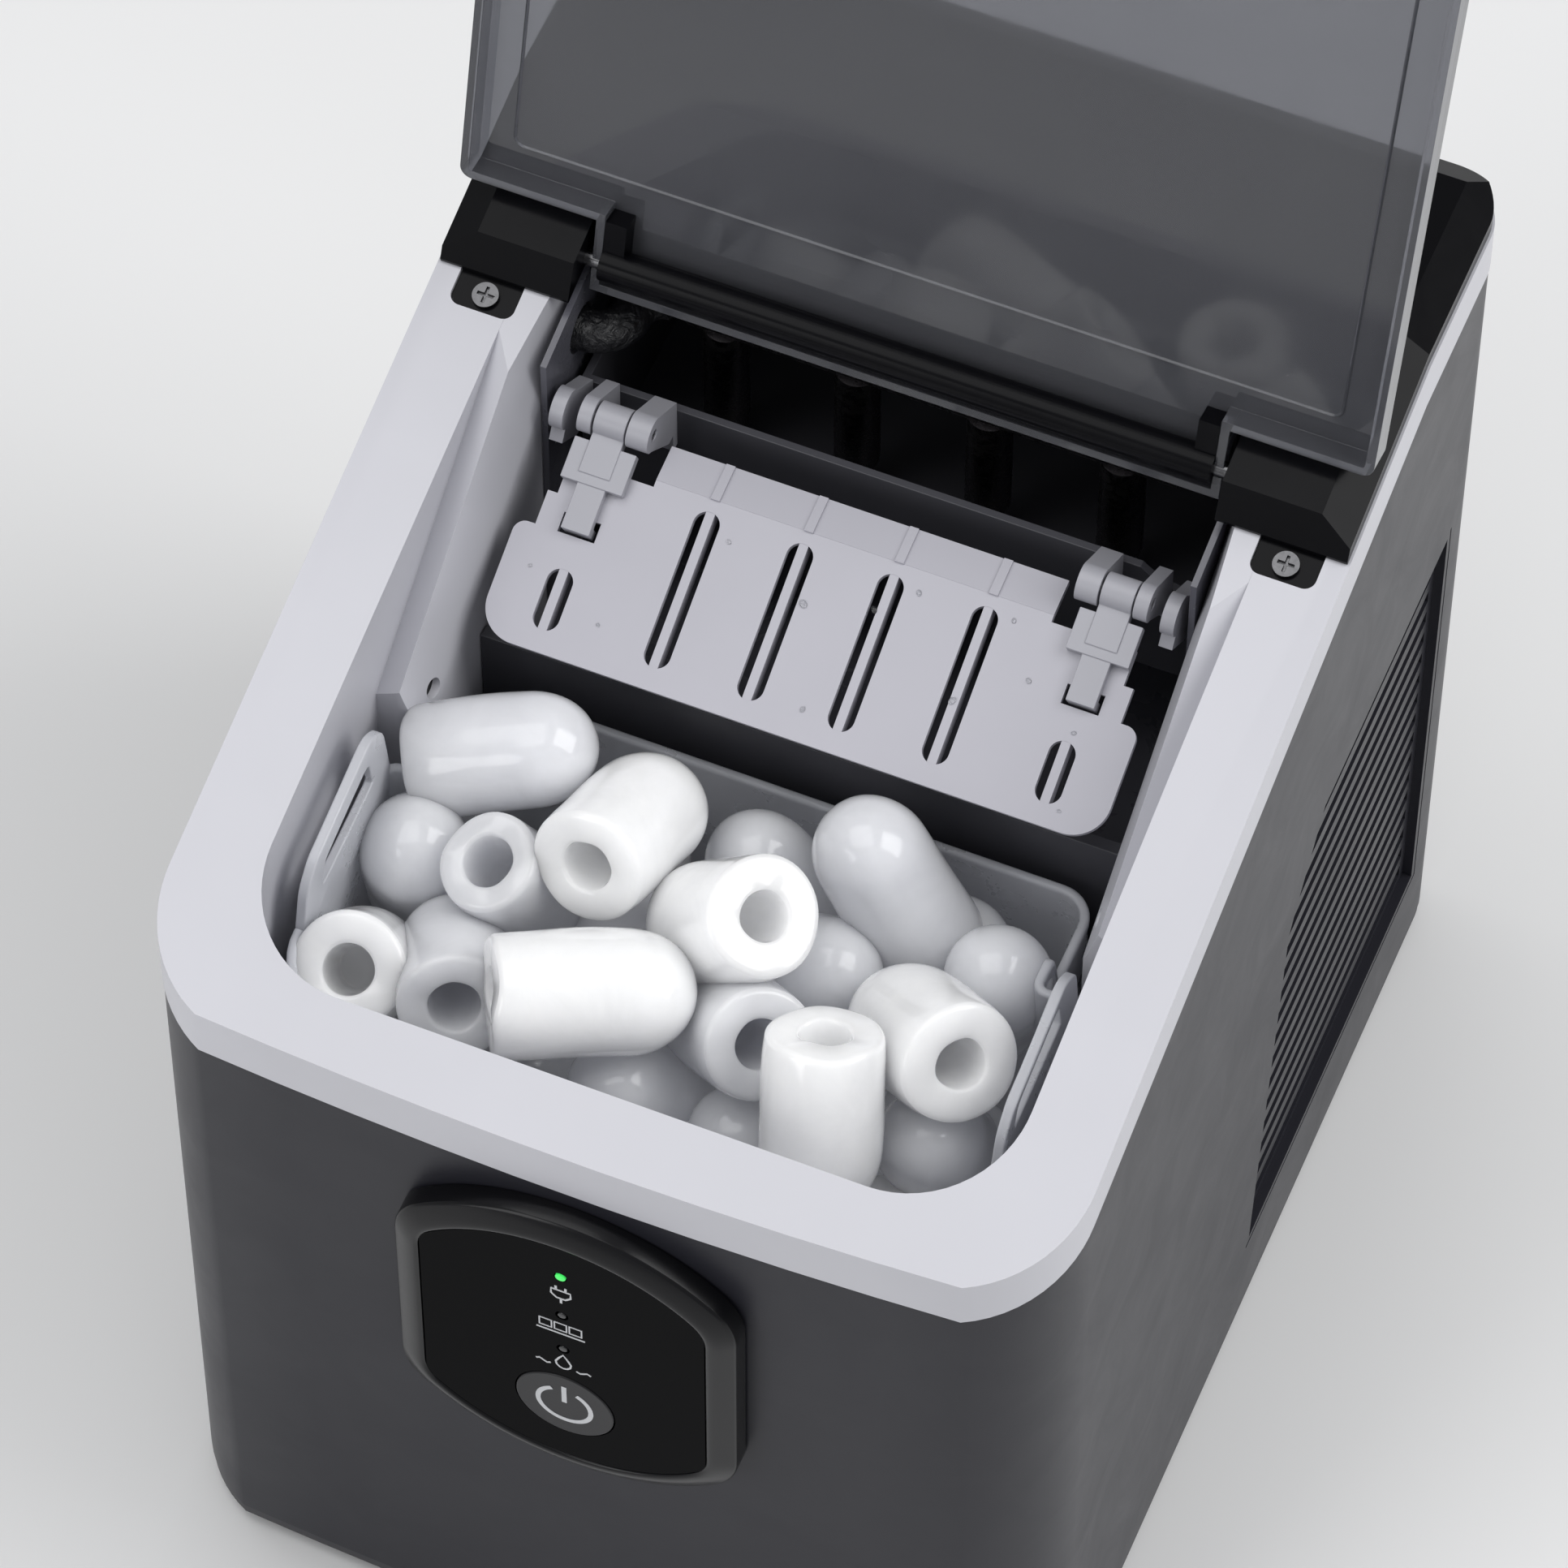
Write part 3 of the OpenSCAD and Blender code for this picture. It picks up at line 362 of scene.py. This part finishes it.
def bullet(name, flat, axis, length, radius, mat, seed, body="basket_body", chip=0.0, bore=6.0):
    """A hollow bullet of ice: open flat end at `flat`, dome at the far end. Sizes in mm."""
    rnd = random.Random(seed)
    R = radius
    prof = []
    bore_d = length * rnd.uniform(0.40, 0.50)
    # inside of the bore, from its closed end out
    for k in range(7):
        a = math.pi / 2 * k / 6
        prof.append((bore * 0.86 * math.sin(a), bore_d + bore * 0.86 * math.cos(a)))
    for k in range(1, 8):
        t = k / 8
        prof.append((bore * (0.86 + 0.14 * t), bore_d * (1 - t)))
    # rounded lip of the bore and the flat ring
    for k in range(5):
        a = math.pi / 2 * k / 4
        prof.append((bore + 1.0 - 1.0 * math.cos(a), 1.0 - 1.0 * math.sin(a)))
    prof.append((bore + (R * 0.97 - bore) * 0.5, -0.05))
    for k in range(6):
        a = math.pi / 2 * k / 5
        prof.append((R * 0.975 - 1.6 + 1.6 * math.sin(a), 1.6 - 1.6 * math.cos(a)))
    # side, slightly barrelled
    dome = R * 1.12
    for k in range(1, 9):
        t = k / 8
        prof.append((R * (0.975 + 0.03 * math.sin(math.pi * (0.15 + 0.6 * t))), 1.6 + (length - dome - 1.6) * t))
    rs = prof[-1][0]
    for k in range(1, 15):
        a = math.pi / 2 * k / 14
        prof.append((rs * math.cos(a) ** 0.92, length - dome + dome * math.sin(a)))
    seg = 56
    verts, faces = [], []
    ph = [rnd.uniform(0, 6.28) for _ in range(6)]
    am = [rnd.uniform(0.006, 0.016) for _ in range(3)]
    n = len(prof)
    for i, (r, z) in enumerate(prof):
        if i in (0, n - 1):
            verts.append((0, 0, z))
            continue
        for s in range(seg):
            a = 2 * math.pi * s / seg
            k = 1 + am[0] * math.sin(2 * a + ph[0] + z * 0.05) + am[1] * math.sin(3 * a + ph[1] - z * 0.08) + am[2] * math.sin(z * 0.21 + a + ph[2])
            dz = 0.0
            if z < 2.5:
                dz = 0.28 * math.sin(2 * a + ph[3]) + 0.16 * math.sin(5 * a + ph[4])
                if chip and r > bore + 1.5:
                    c = math.cos(a - ph[5])
                    if c > 0.75:
                        dz += chip * (c - 0.75) * 4
            verts.append((r * k * math.cos(a), r * k * math.sin(a), z + dz))
    def row(i):
        return 0 if i == 0 else 1 + (i - 1) * seg
    last = len(verts) - 1
    for s in range(seg):
        t = (s + 1) % seg
        faces.append((0, row(1) + t, row(1) + s))
        faces.append((last, row(n - 2) + s, row(n - 2) + t))
    for i in range(1, n - 2):
        for s in range(seg):
            t = (s + 1) % seg
            faces.append((row(i) + s, row(i) + t, row(i + 1) + t, row(i + 1) + s))
    mt = frame_to(axis, P(*flat), rnd.uniform(0, 6.28))
    vs = [mt @ (Vector(v) / 1000) for v in verts]
    o = obj_from(name, vs, faces, mat, body, smooth=60)
    bm = bmesh.new()
    bm.from_mesh(o.data)
    bmesh.ops.recalc_face_normals(bm, faces=bm.faces)
    bm.to_mesh(o.data)
    bm.free()
    return o


def seg_dir(a, b):
    v = Vector(b) - Vector(a)
    return v.normalized()


# name, flat-face centre, dome tip (mm), radius, material, chip
ICE = [
    ("a1", (-79.5, 95.8, 214), (-40, 107.5, 228), 13.6, "ice_m", 1.2),
    ("a2", (-27.7, 73.7, 231.3), (-22.5, 113, 212.8), 14.2, "ice_w", 0),
    ("a3", (-50.9, 70.6, 224.5), (-42.4, 87.5, 184.5), 12.2, "ice_m", 1.0),
    ("a4", (-76.5, 86, 180), (-70.5, 73.7, 220), 13.0, "ice_c", 0),
    ("a5", (-70.6, 36.5, 216), (-76, 60, 181), 13.8, "ice_w", 0),
    ("a6", (-44.8, 37.5, 214.5), (-60.5, 71, 191), 13.4, "ice_m", 0),
    ("a7", (-35.6, 36.9, 225.8), (5.6, 59, 221), 14.4, "ice_w", 0.8),
    ("a8", (16.9, 72.6, 238.8), (-8.8, 82.0, 204.6), 14.6, "ice_w", 0),
    ("a9", (44.4, 105.5, 194.5), (20.4, 109.5, 232), 13.8, "ice_m", 1.6),
    ("a10", (70, 59, 228.5), (42.0, 82, 202), 14.6, "ice_w", 0.6),
    ("a11", (24.6, 51.6, 220), (0, 74, 190), 13.6, "ice_m", 0),
    ("a12", (40.3, 50.9, 236.1), (47.3, 29.0, 198), 13.9, "ice_w", 1.0),
    ("a13", (60, 104, 180), (66.5, 92, 220), 12.8, "ice_c", 0),
    ("a14", (12, 98, 178), (33.0, 81.5, 211), 13.0, "ice_c", 0),
    ("a15", (-36, 90, 170), (-12.1, 79.4, 204), 13.0, "ice_c", 0),
    ("a16", (2.7, 58, 170), (-10, 37, 205), 13.0, "ice_c", 0),
    ("a17", (20.7, 54, 160), (22.0, 41.4, 200), 12.5, "ice_c", 0),
    ("a18", (70, 66, 172), (62, 50, 210), 13.2, "ice_m", 0),
    ("a19", (38, 62, 160), (77, 60, 178), 13.4, "ice_c", 0),
    ("a20", (14, 113, 172), (-6, 108, 210), 13.0, "ice_c", 0),
    ("a22", (46, 113, 160), (50.6, 109, 203), 13.0, "ice_c", 0),
]
rg = random.Random(7)
k = 0
for zl in (148, 176):
    for yy in (40, 68, 96):
        for xx in (-62, -31, 0, 31, 62):
            if zl == 176 and rg.random() < 0.25:
                continue
            a = rg.uniform(0, 6.28)
            x, y = xx + rg.uniform(-3, 3), yy + rg.uniform(-3, 3)
            lx = 15 if abs(xx) < 60 else 8
            dx, dy = lx * math.cos(a), 12 * math.sin(a)
            lim = 67 if y > 78 else 70
            f = (max(-lim, min(lim, x - dx)), max(37, min(112, y - dy)), zl + rg.uniform(-2, 3))
            d = (max(-lim, min(lim, x + dx)), max(37, min(112, y + dy)), zl + rg.uniform(2, 10))
            ax = Vector(d) - Vector(f)
            if ax.length < 8:
                continue
            ax.normalize()
            c = (Vector(f) + Vector(d)) / 2
            ICE.append((f"b{k}", tuple(c - ax * 20), tuple(c + ax * 20), 12.6, ["ice_m", "ice_w"][k % 2], 0))
            k += 1
for i, (n, f, d, r, mt, chip) in enumerate(ICE):
    L = (Vector(d) - Vector(f)).length
    bullet("ice_" + n, f, seg_dir(f, d), L, r, M[mt], 100 + i, chip=chip)


# ------------------------------------------------------------------ basket, as one moulding with loops for handles
def clean(o):
    bm = bmesh.new()
    bm.from_mesh(o.data)
    bmesh.ops.remove_doubles(bm, verts=bm.verts, dist=1e-7)
    bmesh.ops.recalc_face_normals(bm, faces=bm.faces)
    bm.to_mesh(o.data)
    bm.free()
    return o


def bevel(o, width, segs=3, angle=35):
    b = o.modifiers.new("edges", "BEVEL")
    b.width = width
    b.segments = segs
    b.limit_method = "ANGLE"
    b.angle_limit = math.radians(angle)
    b.harden_normals = True
    return o


def fillet(pts, n=10):
    """Closed outline from corners (x, y, r), each rounded by its radius, going round anticlockwise."""
    out = []
    m = len(pts)
    for i in range(m):
        p, q, w = Vector(pts[i - 1][:2]), Vector(pts[i][:2]), Vector(pts[(i + 1) % m][:2])
        r = pts[i][2]
        u, v = (p - q).normalized(), (w - q).normalized()
        half = u.angle(v) / 2
        d = r / math.tan(half)
        a, b = q + u * d, q + v * d
        c = q + (u + v).normalized() * (r / math.sin(half))
        ra, rb = a - c, b - c
        tot = ra.angle(rb)
        sgn = 1 if ra.cross(rb) > 0 else -1
        for k in range(n + 1):
            t = sgn * tot * k / n
            out.append(Vector((c.x + ra.x * math.cos(t) - ra.y * math.sin(t), c.y + ra.x * math.sin(t) + ra.y * math.cos(t))))
    return out


def dense(pts, step=2.0):
    out = []
    for i, a in enumerate(pts):
        b = pts[(i + 1) % len(pts)]
        n = max(1, int((b - a).length / step))
        out += [a + (b - a) * (k / n) for k in range(n)]
    return out


def inset(pts, d):
    n = len(pts)
    out = []
    for i in range(n):
        t = (pts[(i + 1) % n] - pts[i - 1]).normalized()
        out.append(pts[i] + Vector((-t.y, t.x)) * d)
    return out


def sstep(a, b, x):
    t = max(0.0, min(1.0, (x - a) / (b - a)))
    return t * t * (3 - 2 * t)


plan = dense(fillet([(-86.1, 21.1, 20), (86.1, 21.1, 20), (86.1, 91.9, 5), (76.5, 91.9, 1.5), (76.5, 129.9, 9), (-76.5, 129.9, 9), (-76.5, 91.9, 1.5), (-86.1, 91.9, 5)]), 1.6)
wall = []
for q in plan:
    h = 217.8 - 16.9 * sstep(99, 104.5, q.y)
    if abs(q.x) > 82:
        h -= 7.5 * sstep(41, 45, q.y) * (1 - sstep(86, 90, q.y))
    if q.x < -60 and q.y > 100:
        h += 10 * sstep(103.5, 106, q.y) * (1 - sstep(118, 122, q.y)) * (1 - sstep(-72, -66, q.x))
    wall.append(h)
rows = []
lip = [(0.0, -3.0), (-0.35, -2.2), (-0.35, -0.9), (-0.1, -0.25), (0.45, 0.0), (1.25, 0.0), (1.75, -0.25), (1.95, -0.8), (1.9, -1.6)]
n = len(plan)
prof = [("z", 2.0, 128.15), ("z", 0.7, 128.6), ("z", 0.0, 130.5)] + [("t", max(0.02, d + 0.35), z) for d, z in lip] + [("z", 2.0, 132.0), ("z", 2.6, 130.7), ("z", 4.5, 130.25)]
verts = []
for kind, d, z in prof:
    ring = inset(plan, d)
    for q, h in zip(ring, wall):
        verts.append(P(q.x, q.y, z if kind == "z" else h + z))
faces = []
for r in range(len(prof) - 1):
    for i in range(n):
        j = (i + 1) % n
        faces.append((r * n + i, r * n + j, (r + 1) * n + j, (r + 1) * n + i))
c0 = len(verts)
verts += [P(0, 70, 128.15), P(0, 70, 130.25)]
last = (len(prof) - 1) * n
for i in range(n):
    j = (i + 1) % n
    faces.append((c0, j, i))
    faces.append((c0 + 1, last + i, last + j))
basket = clean(obj_from("basket_shell", verts, faces, M["basket"], "basket_body", 50))
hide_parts("ice_basket")

outer = dense(fillet([(39.6, 209, 1.5), (44.6, 228.5, 9), (50, 233.6, 6), (81, 240.6, 6), (87.4, 235.6, 7), (91.2, 209, 1.5)], 12), 1.2)
slit_c = dense(fillet([(51.5, 221.5, 1.2), (54.0, 229.2, 3.5), (78.5, 234.6, 2.6), (80.2, 224.5, 1.2)], 8), 0.8)


def by_angle(loop, c, n=96):
    """Points of a loop around centre c, at even angles."""
    out = []
    m = len(loop)
    for k in range(n):
        a = 2 * math.pi * k / n
        d = Vector((math.cos(a), math.sin(a)))
        best = None
        for i in range(m):
            p, q = loop[i] - c, loop[(i + 1) % m] - c
            e = q - p
            den = d.x * e.y - d.y * e.x
            if abs(den) < 1e-9:
                continue
            t = (p.x * e.y - p.y * e.x) / den
            u = (p.x * d.y - p.y * d.x) / den
            if t > 0 and -1e-6 <= u <= 1 + 1e-6 and (best is None or t > best):
                best = t
        out.append(c + d * best)
    return out


cen = Vector((66.3, 227.6))
oo, ii = by_angle(outer, cen), by_angle(slit_c, cen)
mid = [o_ + (i_ - o_).normalized() * 1.9 for o_, i_ in zip(oo, ii)]
for side, name in ((-1, "left"), (1, "right")):
    verts, faces = [], []
    loops = [(oo, 86.19, 0), (oo, 83.75, 0), (mid, 83.45, 1), (ii, 83.45, 0), (ii, 85.6, 0), (mid, 86.19, 0)]
    # outside face proud at the rim of the loop, so the loop reads as a raised lip
    for loop, x, _ in loops:
        verts += [P(side * x, q.x, q.y) for q in loop]
    m = 96
    L = len(loops)
    for r in range(L):
        for i in range(m):
            j = (i + 1) % m
            a, b = r * m, ((r + 1) % L) * m
            faces.append((a + i, a + j, b + j, b + i))
    h = clean(obj_from("basket_handle_" + name, verts, faces, M["basket"], "basket_body", 40))
    bevel(h, 0.00045, 3, 30)

# ------------------------------------------------------------------ panel surround, turned out of smooth rings
def stadium(hw_, r_, ease, n=220):
    """Outline of the panel: straight sides at |x| = hw_, arcs of radius r_ above and below, corners of radius ease."""
    cxx = hw_ - ease
    czz = math.sqrt((r_ - ease) ** 2 - cxx ** 2)
    top = math.atan2(czz, cxx)
    q1 = [Vector((cxx + ease * math.cos(top * k / 24), czz + ease * math.sin(top * k / 24))) for k in range(25)]
    q1 += [Vector((r_ * math.cos(top + (math.pi / 2 - top) * k / 30), r_ * math.sin(top + (math.pi / 2 - top) * k / 30))) for k in range(1, 31)]
    q2 = [Vector((-q.x, q.y)) for q in reversed(q1[:-1])]
    up = q1 + q2
    pts = up + [Vector((-q.x, -q.y)) for q in up]
    return by_angle(dense(pts, 0.7), Vector((0, 0)), n)


PZ = 159.2
rings = [(42.0, 53.5, 0.15), (42.0, 53.5, -4.6), (41.8, 53.3, -5.1), (41.4, 52.8, -5.5), (38.4, 49.6, -6.95), (37.2, 48.4, -7.35), (36.4, 47.6, -7.48), (35.8, 47.0, -7.45), (35.35, 46.6, -7.2), (35.2, 46.4, -6.8), (35.2, 46.4, -2.6)]
verts, faces = [], []
for hw_, r_, y_ in rings:
    verts += [P(q.x, y_, PZ + q.y) for q in stadium(hw_, r_, 11 + 0.9 * (hw_ - 35))]
m = 220
for r in range(len(rings) - 1):
    for i in range(m):
        j = (i + 1) % m
        faces.append((r * m + i, r * m + j, (r + 1) * m + j, (r + 1) * m + i))
c0 = len(verts)
verts += [P(0, 0.15, PZ), P(0, -2.6, PZ)]
for i in range(m):
    j = (i + 1) % m
    faces.append((c0, j, i))
    faces.append((c0 + 1, (len(rings) - 1) * m + i, (len(rings) - 1) * m + j))
bz_o = clean(obj_from("panel_surround", verts, faces, M["satin_black"], "casing", 50))
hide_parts("control_bezel")


def disc(name, x, y, z, r, lift, mat, body, n=32, rows_=5):
    """A low lens standing on a face that looks to the front."""
    verts, faces = [], []
    for k in range(rows_ + 1):
        a = math.pi / 2 * k / rows_
        for i in range(n):
            t = 2 * math.pi * i / n
            verts.append(P(x + r * math.cos(a) * math.cos(t), y - lift * math.sin(a), z + r * math.cos(a) * math.sin(t)))
    for k in range(rows_):
        for i in range(n):
            j = (i + 1) % n
            faces.append((k * n + i, k * n + j, (k + 1) * n + j, (k + 1) * n + i))
    base = len(verts)
    verts += [P(x + r * math.cos(2 * math.pi * i / n), y + 1.2, z + r * math.sin(2 * math.pi * i / n)) for i in range(n)]
    for i in range(n):
        j = (i + 1) % n
        faces.append((base + i, base + j, j, i))
    faces.append(tuple(base + i for i in range(n - 1, -1, -1)))
    return clean(obj_from(name, verts, faces, mat, body, smooth=60))


led = disc("light_top", 0, -7.05, 193, 1.3, 0.3, M["led_on"], "casing")
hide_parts("indicator_lights")
for nm, z in (("light_middle", 176), ("light_low", 161)):
    disc(nm, 0, -7.0, z, 1.0, 0.12, M["led_off"], "casing")

# ------------------------------------------------------------------ marks on the control panel
def strip(name, pts, width, y, mat, body, closed=False, lift=0.12):
    """A flat printed line along pts (x, z in mm) on a plane facing the front, as a thin raised ribbon."""
    pts = [Vector((p[0], p[1])) for p in pts]
    n = len(pts)
    L, Rr = [], []
    for i in range(n):
        a = pts[(i - 1) % n] if (closed or i > 0) else pts[i]
        b = pts[(i + 1) % n] if (closed or i < n - 1) else pts[i]
        t = (b - a).normalized()
        nn = Vector((-t.y, t.x)) * (width / 2)
        L.append(pts[i] + nn)
        Rr.append(pts[i] - nn)
    verts, faces = [], []
    for i in range(n):
        for q in (L[i], Rr[i]):
            verts.append(P(q.x, y, q.y))
            verts.append(P(q.x, y - lift, q.y))
    m = n if closed else n - 1
    for i in range(m):
        j = (i + 1) % n
        a, b = 4 * i, 4 * j
        faces += [(a + 1, a + 3, b + 3, b + 1), (a, b, b + 2, a + 2), (a, a + 1, b + 1, b), (a + 2, b + 2, b + 3, a + 3)]
    if not closed:
        faces += [(0, 2, 3, 1), (4 * (n - 1), 4 * (n - 1) + 1, 4 * (n - 1) + 3, 4 * (n - 1) + 2)]
    o = obj_from(name, verts, faces, mat, body)
    bm = bmesh.new()
    bm.from_mesh(o.data)
    bmesh.ops.recalc_face_normals(bm, faces=bm.faces)
    bm.to_mesh(o.data)
    bm.free()
    return o


def arc(cx, cz, r, a0, a1, n=40):
    return [(cx + r * math.cos(math.radians(a0 + (a1 - a0) * i / n)), cz + r * math.sin(math.radians(a0 + (a1 - a0) * i / n))) for i in range(n + 1)]


bz = 136.3
strip("mark_power_ring", arc(0, bz, 6.6, 118, 422, 60), 1.25, -7.3, M["mark"], "button_body")
strip("mark_power_bar", [(0, bz + 1.2), (0, bz + 4.0), (0, bz + 8.0)], 1.25, -7.3, M["mark"], "button_body")

# plain signs beside the lights: a plug, a full tray of cubes and a drop
IY = -7.0
mk = M["mark"]
strip("mark_plug_body", [(-2.4, 187.2), (2.4, 187.2), (2.4, 185.2), (1.1, 183.8), (-1.1, 183.8), (-2.4, 185.2)], 0.55, IY, mk, "casing", True)
strip("mark_plug_pin_a", [(-1.2, 187.4), (-1.2, 188.8)], 0.6, IY, mk, "casing")
strip("mark_plug_pin_b", [(1.2, 187.4), (1.2, 188.8)], 0.6, IY, mk, "casing")
strip("mark_plug_lead", [(0, 183.6), (0, 181.8)], 0.6, IY, mk, "casing")
for i_, (u_, v_) in enumerate(((-5.6, 169.4), (-1.9, 169.4), (1.8, 169.4))):
    strip("mark_cube_%d" % i_, [(u_, v_), (u_ + 3.0, v_), (u_ + 3.0, v_ + 3.0), (u_, v_ + 3.0)], 0.5, IY, mk, "casing", True)
strip("mark_cube_line", [(-6.4, 168.0), (5.6, 168.0)], 0.5, IY, mk, "casing")
strip("mark_drop", [(0, 158.4), (1.1, 156.6), (1.9, 154.9), (1.7, 153.6), (0.9, 152.7), (0, 152.4), (-0.9, 152.7), (-1.7, 153.6), (-1.9, 154.9), (-1.1, 156.6)], 0.5, IY, mk, "casing", True)
strip("mark_wave_a", [(-6.8, 153.2), (-5.9, 153.8), (-5.0, 153.2), (-4.1, 152.7), (-3.2, 153.2)], 0.5, IY, mk, "casing")
strip("mark_wave_b", [(3.2, 153.2), (4.1, 152.7), (5.0, 153.2), (5.9, 153.8), (6.8, 153.2)], 0.5, IY, mk, "casing")

# ------------------------------------------------------------------ water on the shovel
M["water"], _nt, _b = new_mat("water_drop")
_v = coords(_nt)
_nt.links.new(ramp(_nt, noise(_nt, _v, 200, 2), [(0.3, (0.93, 0.94, 0.95)), (0.7, (1.0, 1.0, 1.0))]), _b.inputs["Base Color"])
_b.inputs["Roughness"].default_value = 0.03
_b.inputs["Transmission Weight"].default_value = 1.0
_b.inputs["IOR"].default_value = 1.33
SA = math.radians(25.3)


def on_shovel(x, s_, n_):
    """Plate coordinates (x across, s up the plate, n off it) in mm."""
    return P(x, 145.4 + s_ * math.cos(SA) - n_ * math.sin(SA), 242.2 + s_ * math.sin(SA) + n_ * math.cos(SA))


rd = random.Random(11)
spots = [(-6.5, 6, 1.0), (9.5, 10, 0.8), (34, -4, 0.9), (-28, 14, 0.6), (49, 6, 0.7), (18, 17, 0.7), (63, -2, 0.6), (-50, -14, 0.5), (41, 18, 0.6), (2, -17, 0.7), (-70, -6, 0.5), (66, -20, 0.5)]
for i_, (x_, s_, r_) in enumerate(spots):
    verts, faces = [], []
    nn_, rr_ = 20, 5
    ph_ = rd.uniform(0, 6.28)
    for k in range(rr_ + 1):
        a = math.pi / 2 * k / rr_
        for i in range(nn_):
            t = 2 * math.pi * i / nn_
            w_ = 1 + 0.16 * math.sin(2 * t + ph_)
            verts.append(on_shovel(x_ + r_ * w_ * math.cos(a) * math.cos(t), s_ + r_ * w_ * math.cos(a) * math.sin(t), 0.02 + r_ * 0.55 * math.sin(a)))
    for k in range(rr_):
        for i in range(nn_):
            j = (i + 1) % nn_
            faces.append((k * nn_ + i, k * nn_ + j, (k + 1) * nn_ + j, (k + 1) * nn_ + i))
    faces.append(tuple(range(nn_ - 1, -1, -1)))
    clean(obj_from("drop_%02d" % i_, verts, faces, M["water"], "shovel_body", smooth=60))

# ------------------------------------------------------------------ the lid's inner line
TA, TO = math.radians(14), math.radians(-118)


def on_lid(x, v, w):
    """Lid coordinates when shut (x across, v up the slope, w off the rim), carried to the open lid."""
    dv, dw = v - 203, w - 2
    v2 = 203 + dv * math.cos(TO) - dw * math.sin(TO)
    w2 = 2 + dv * math.sin(TO) + dw * math.cos(TO)
    return P(x, v2 * math.cos(TA) - w2 * math.sin(TA), 232.4 + v2 * math.sin(TA) + w2 * math.cos(TA))


line = dense(fillet([(-101.5, 9.5, 25), (101.5, 9.5, 25), (101.5, 181.5, 3), (-101.5, 181.5, 3)]), 2.5)
verts, faces = [], []
li = inset(line, 0.9)
lm = inset(line, 0.45)
m = len(line)
for loop, w_ in ((line, 6.4), (lm, 5.95), (li, 6.4)):
    verts += [on_lid(q.x, q.y, w_ - 0.02) for q in loop]
for r in range(2):
    for i in range(m):
        j = (i + 1) % m
        faces.append((r * m + i, r * m + j, (r + 1) * m + j, (r + 1) * m + i))
for i in range(m):
    j = (i + 1) % m
    faces.append((2 * m + i, 2 * m + j, j, i))
clean(obj_from("lid_inner_line", verts, faces, M["lid"], "lid_body", 40))

# ------------------------------------------------------------------ floor, lights, camera
bpy.ops.mesh.primitive_plane_add(size=12, location=(0, 0, 0))
floor = bpy.context.object
floor.name = "floor"
fm, fnt, fb = new_mat("floor_pale")
fv = coords(fnt)
fnt.links.new(ramp(fnt, noise(fnt, fv, 2.0, 3), [(0.3, (0.80, 0.80, 0.80)), (0.7, (0.83, 0.83, 0.83))]), fb.inputs["Base Color"])
fb.inputs["Roughness"].default_value = 0.6
floor.data.materials.append(fm)

world = bpy.data.worlds.new("world")
bpy.context.scene.world = world
world.use_nodes = True
bg = world.node_tree.nodes["Background"]
bg.inputs["Color"].default_value = (0.93, 0.94, 0.96, 1)
bg.inputs["Strength"].default_value = 0.46


def area(name, loc, target, size, power, col=(1, 1, 1)):
    ld = bpy.data.lights.new(name, "AREA")
    ld.shape = "RECTANGLE"
    ld.size, ld.size_y = size
    ld.energy = power
    ld.color = col
    o = bpy.data.objects.new(name, ld)
    bpy.context.scene.collection.objects.link(o)
    o.location = loc
    o.rotation_mode = "QUATERNION"
    o.rotation_quaternion = (Vector(target) - Vector(loc)).to_track_quat("-Z", "Y")
    return o


area("key", (1.3, 0.35, 1.5), (0, 0, 0.2), (1.2, 1.6), 22)
area("top", (-0.5, -0.2, 2.0), (0, 0, 0.2), (1.5, 1.5), 13)
area("left", (-1.0, -1.7, 1.0), (0, 0, 0.2), (1.0, 1.3), 11)

az, el, roll = 22.46865, 56.2520, 0.117725
f_px, dist = 11097.7, 2050.24
cx, cy = -24.4975, 55.4822
a, e = math.radians(az), math.radians(el)
back = Vector((math.sin(a) * math.cos(e), -math.cos(a) * math.cos(e), math.sin(e)))
fwd = -back
right = fwd.cross(Vector((0, 0, 1))).normalized()
down = fwd.cross(right)
cr, sr = math.cos(math.radians(roll)), math.sin(math.radians(roll))
r0 = right * cr - down * sr
r1 = right * sr + down * cr
tgt = Vector((0, 60, 200))
pos = tgt - (r0 * cx + r1 * cy + fwd * dist)
cam_data = bpy.data.cameras.new("camera")
cam = bpy.data.objects.new("camera", cam_data)
bpy.context.scene.collection.objects.link(cam)
cam_data.sensor_fit = "HORIZONTAL"
cam_data.sensor_width = 36
cam_data.lens = f_px / 1932 * 36
cam_data.clip_start, cam_data.clip_end = 0.1, 30
rot = Matrix((r0, -r1, -fwd)).transposed().to_4x4()
cam.matrix_world = Matrix.Translation(P(*pos)) @ rot
bpy.context.scene.camera = cam
bpy.context.scene.view_settings.view_transform = "Standard"
bpy.context.scene.view_settings.look = "None"
bpy.context.scene.view_settings.exposure = 0.0
